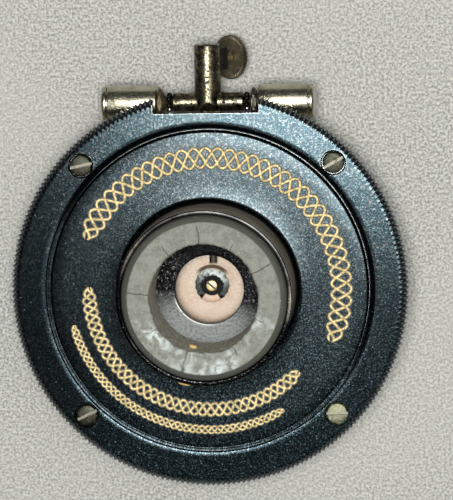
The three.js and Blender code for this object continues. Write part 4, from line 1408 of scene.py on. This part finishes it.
piece("plated_case", case_mesh, case_nickel, "nickel", "front_case", sharp=28)

# %% [markdown]
# ## Gaskets
# Two rings of rubber tube hold the edge of the mica, one in front and one behind. They lie deep inside,
# and their CAD shape is right, so they keep it and only get a material of chalky rubber.

# %% Rubber of the two gaskets
gasket_rubber, shader, place = begin("Gasket rubber")
chalk = noise(place, 1.2, 6.0, 0.65)
colour = clouded(chalk, 0.35, 0.65, (0.25, 0.2, 0.14), (0.45, 0.38, 0.29))
fill(shader, Base_Color=colour, Roughness=chalk * 0.4 + 0.5, Normal=bump(chalk, 50))
for node in ("front_gasket", "rear_gasket"):
    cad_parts[node].data.materials.clear()
    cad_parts[node].data.materials.append(gasket_rubber)
    print(node, "keeps its CAD shape")

# %% [markdown]
# ## Table, light and world
# The sound box lies on pale, grainy paper. It is one flat sheet, wide enough for every view, because
# its grain is too fine to need a shape. A wide soft lamp stands towards the upper right. A smaller one
# is nearly in line with the camera: the blued faces mirror it beside the notch, and it shines down the
# bore onto the mica. The room is dim but for a paler strip in front, which gives the round nickel pieces
# their dark bands.

# %% Table
TABLE_HALF = 900
table, shader, place = begin("Table")
fine = noise(place, 2.5, 3.0, 0.85)
broad = ramp(noise(place, 0.02, 3.0), 0.4, 0.65)
colour = clouded(fine, 0.36, 0.64, (0.152, 0.156, 0.146), (0.462, 0.468, 0.44))
colour = blend(broad * 0.35, colour, (0.365, 0.37, 0.352))
fill(shader, Base_Color=colour, Roughness=fine * 0.3 + 0.7, Specular_IOR_Level=0.2)
corners = [[(x, y, 0) for x in (-TABLE_HALF, TABLE_HALF)] for y in (-TABLE_HALF, TABLE_HALF)]
floor_mesh = mesh_of(np.array(corners, float), False, False)
floor_mesh.materials.append(table)
if floor_mesh.polygons[0].normal.z < 0:
    floor_mesh.flip_normals()
floor = in_scene("table_top", floor_mesh)
print("table top", 2 * TABLE_HALF, "mm square, at z = 0")


# %% Lamps
def lamp(name, at, size, watts):
    """A square lamp that faces straight down."""
    data = bpy.data.lights.new(name, "AREA")
    data.shape = "SQUARE"
    data.size = size / 1000
    data.energy = watts
    data.color = (1.0, 0.985, 0.96)
    in_scene(name, data).location = to_frame(at)
    print(f"{name}: {watts} W from {at} mm")


lamp("window", (97, 124, 430), size=310, watts=0.6)
lamp("ceiling", (22, 48, 600), size=172, watts=4.7)

# %% World
world = bpy.data.worlds.new("room")
world.use_nodes = True
bpy.context.scene.world = world
tree = world.node_tree
tree.nodes.clear()
x, y, z = add(tree, "ShaderNodeTexCoord", output="Generated").parts()
pale_strip = ramp(abs(x), 0.9, 0.5) * ramp(y, 0.05, -0.1) * ramp(z, 0.15, 0.5)
seen = add(tree, "ShaderNodeLightPath", output="Is Camera Ray")
sky = blend(pale_strip, (0.05, 0.052, 0.056), (0.42, 0.42, 0.41))
sky = blend(seen, sky, (0.62, 0.61, 0.6))
background = add(tree, "ShaderNodeBackground", {"Color": sky, "Strength": 1.0})
plug(background, tree.nodes.new("ShaderNodeOutputWorld").inputs["Surface"])
bpy.context.scene.view_settings.view_transform = "Standard"
print("world:", len(tree.nodes), "nodes; colours shown as", bpy.context.scene.view_settings.view_transform)
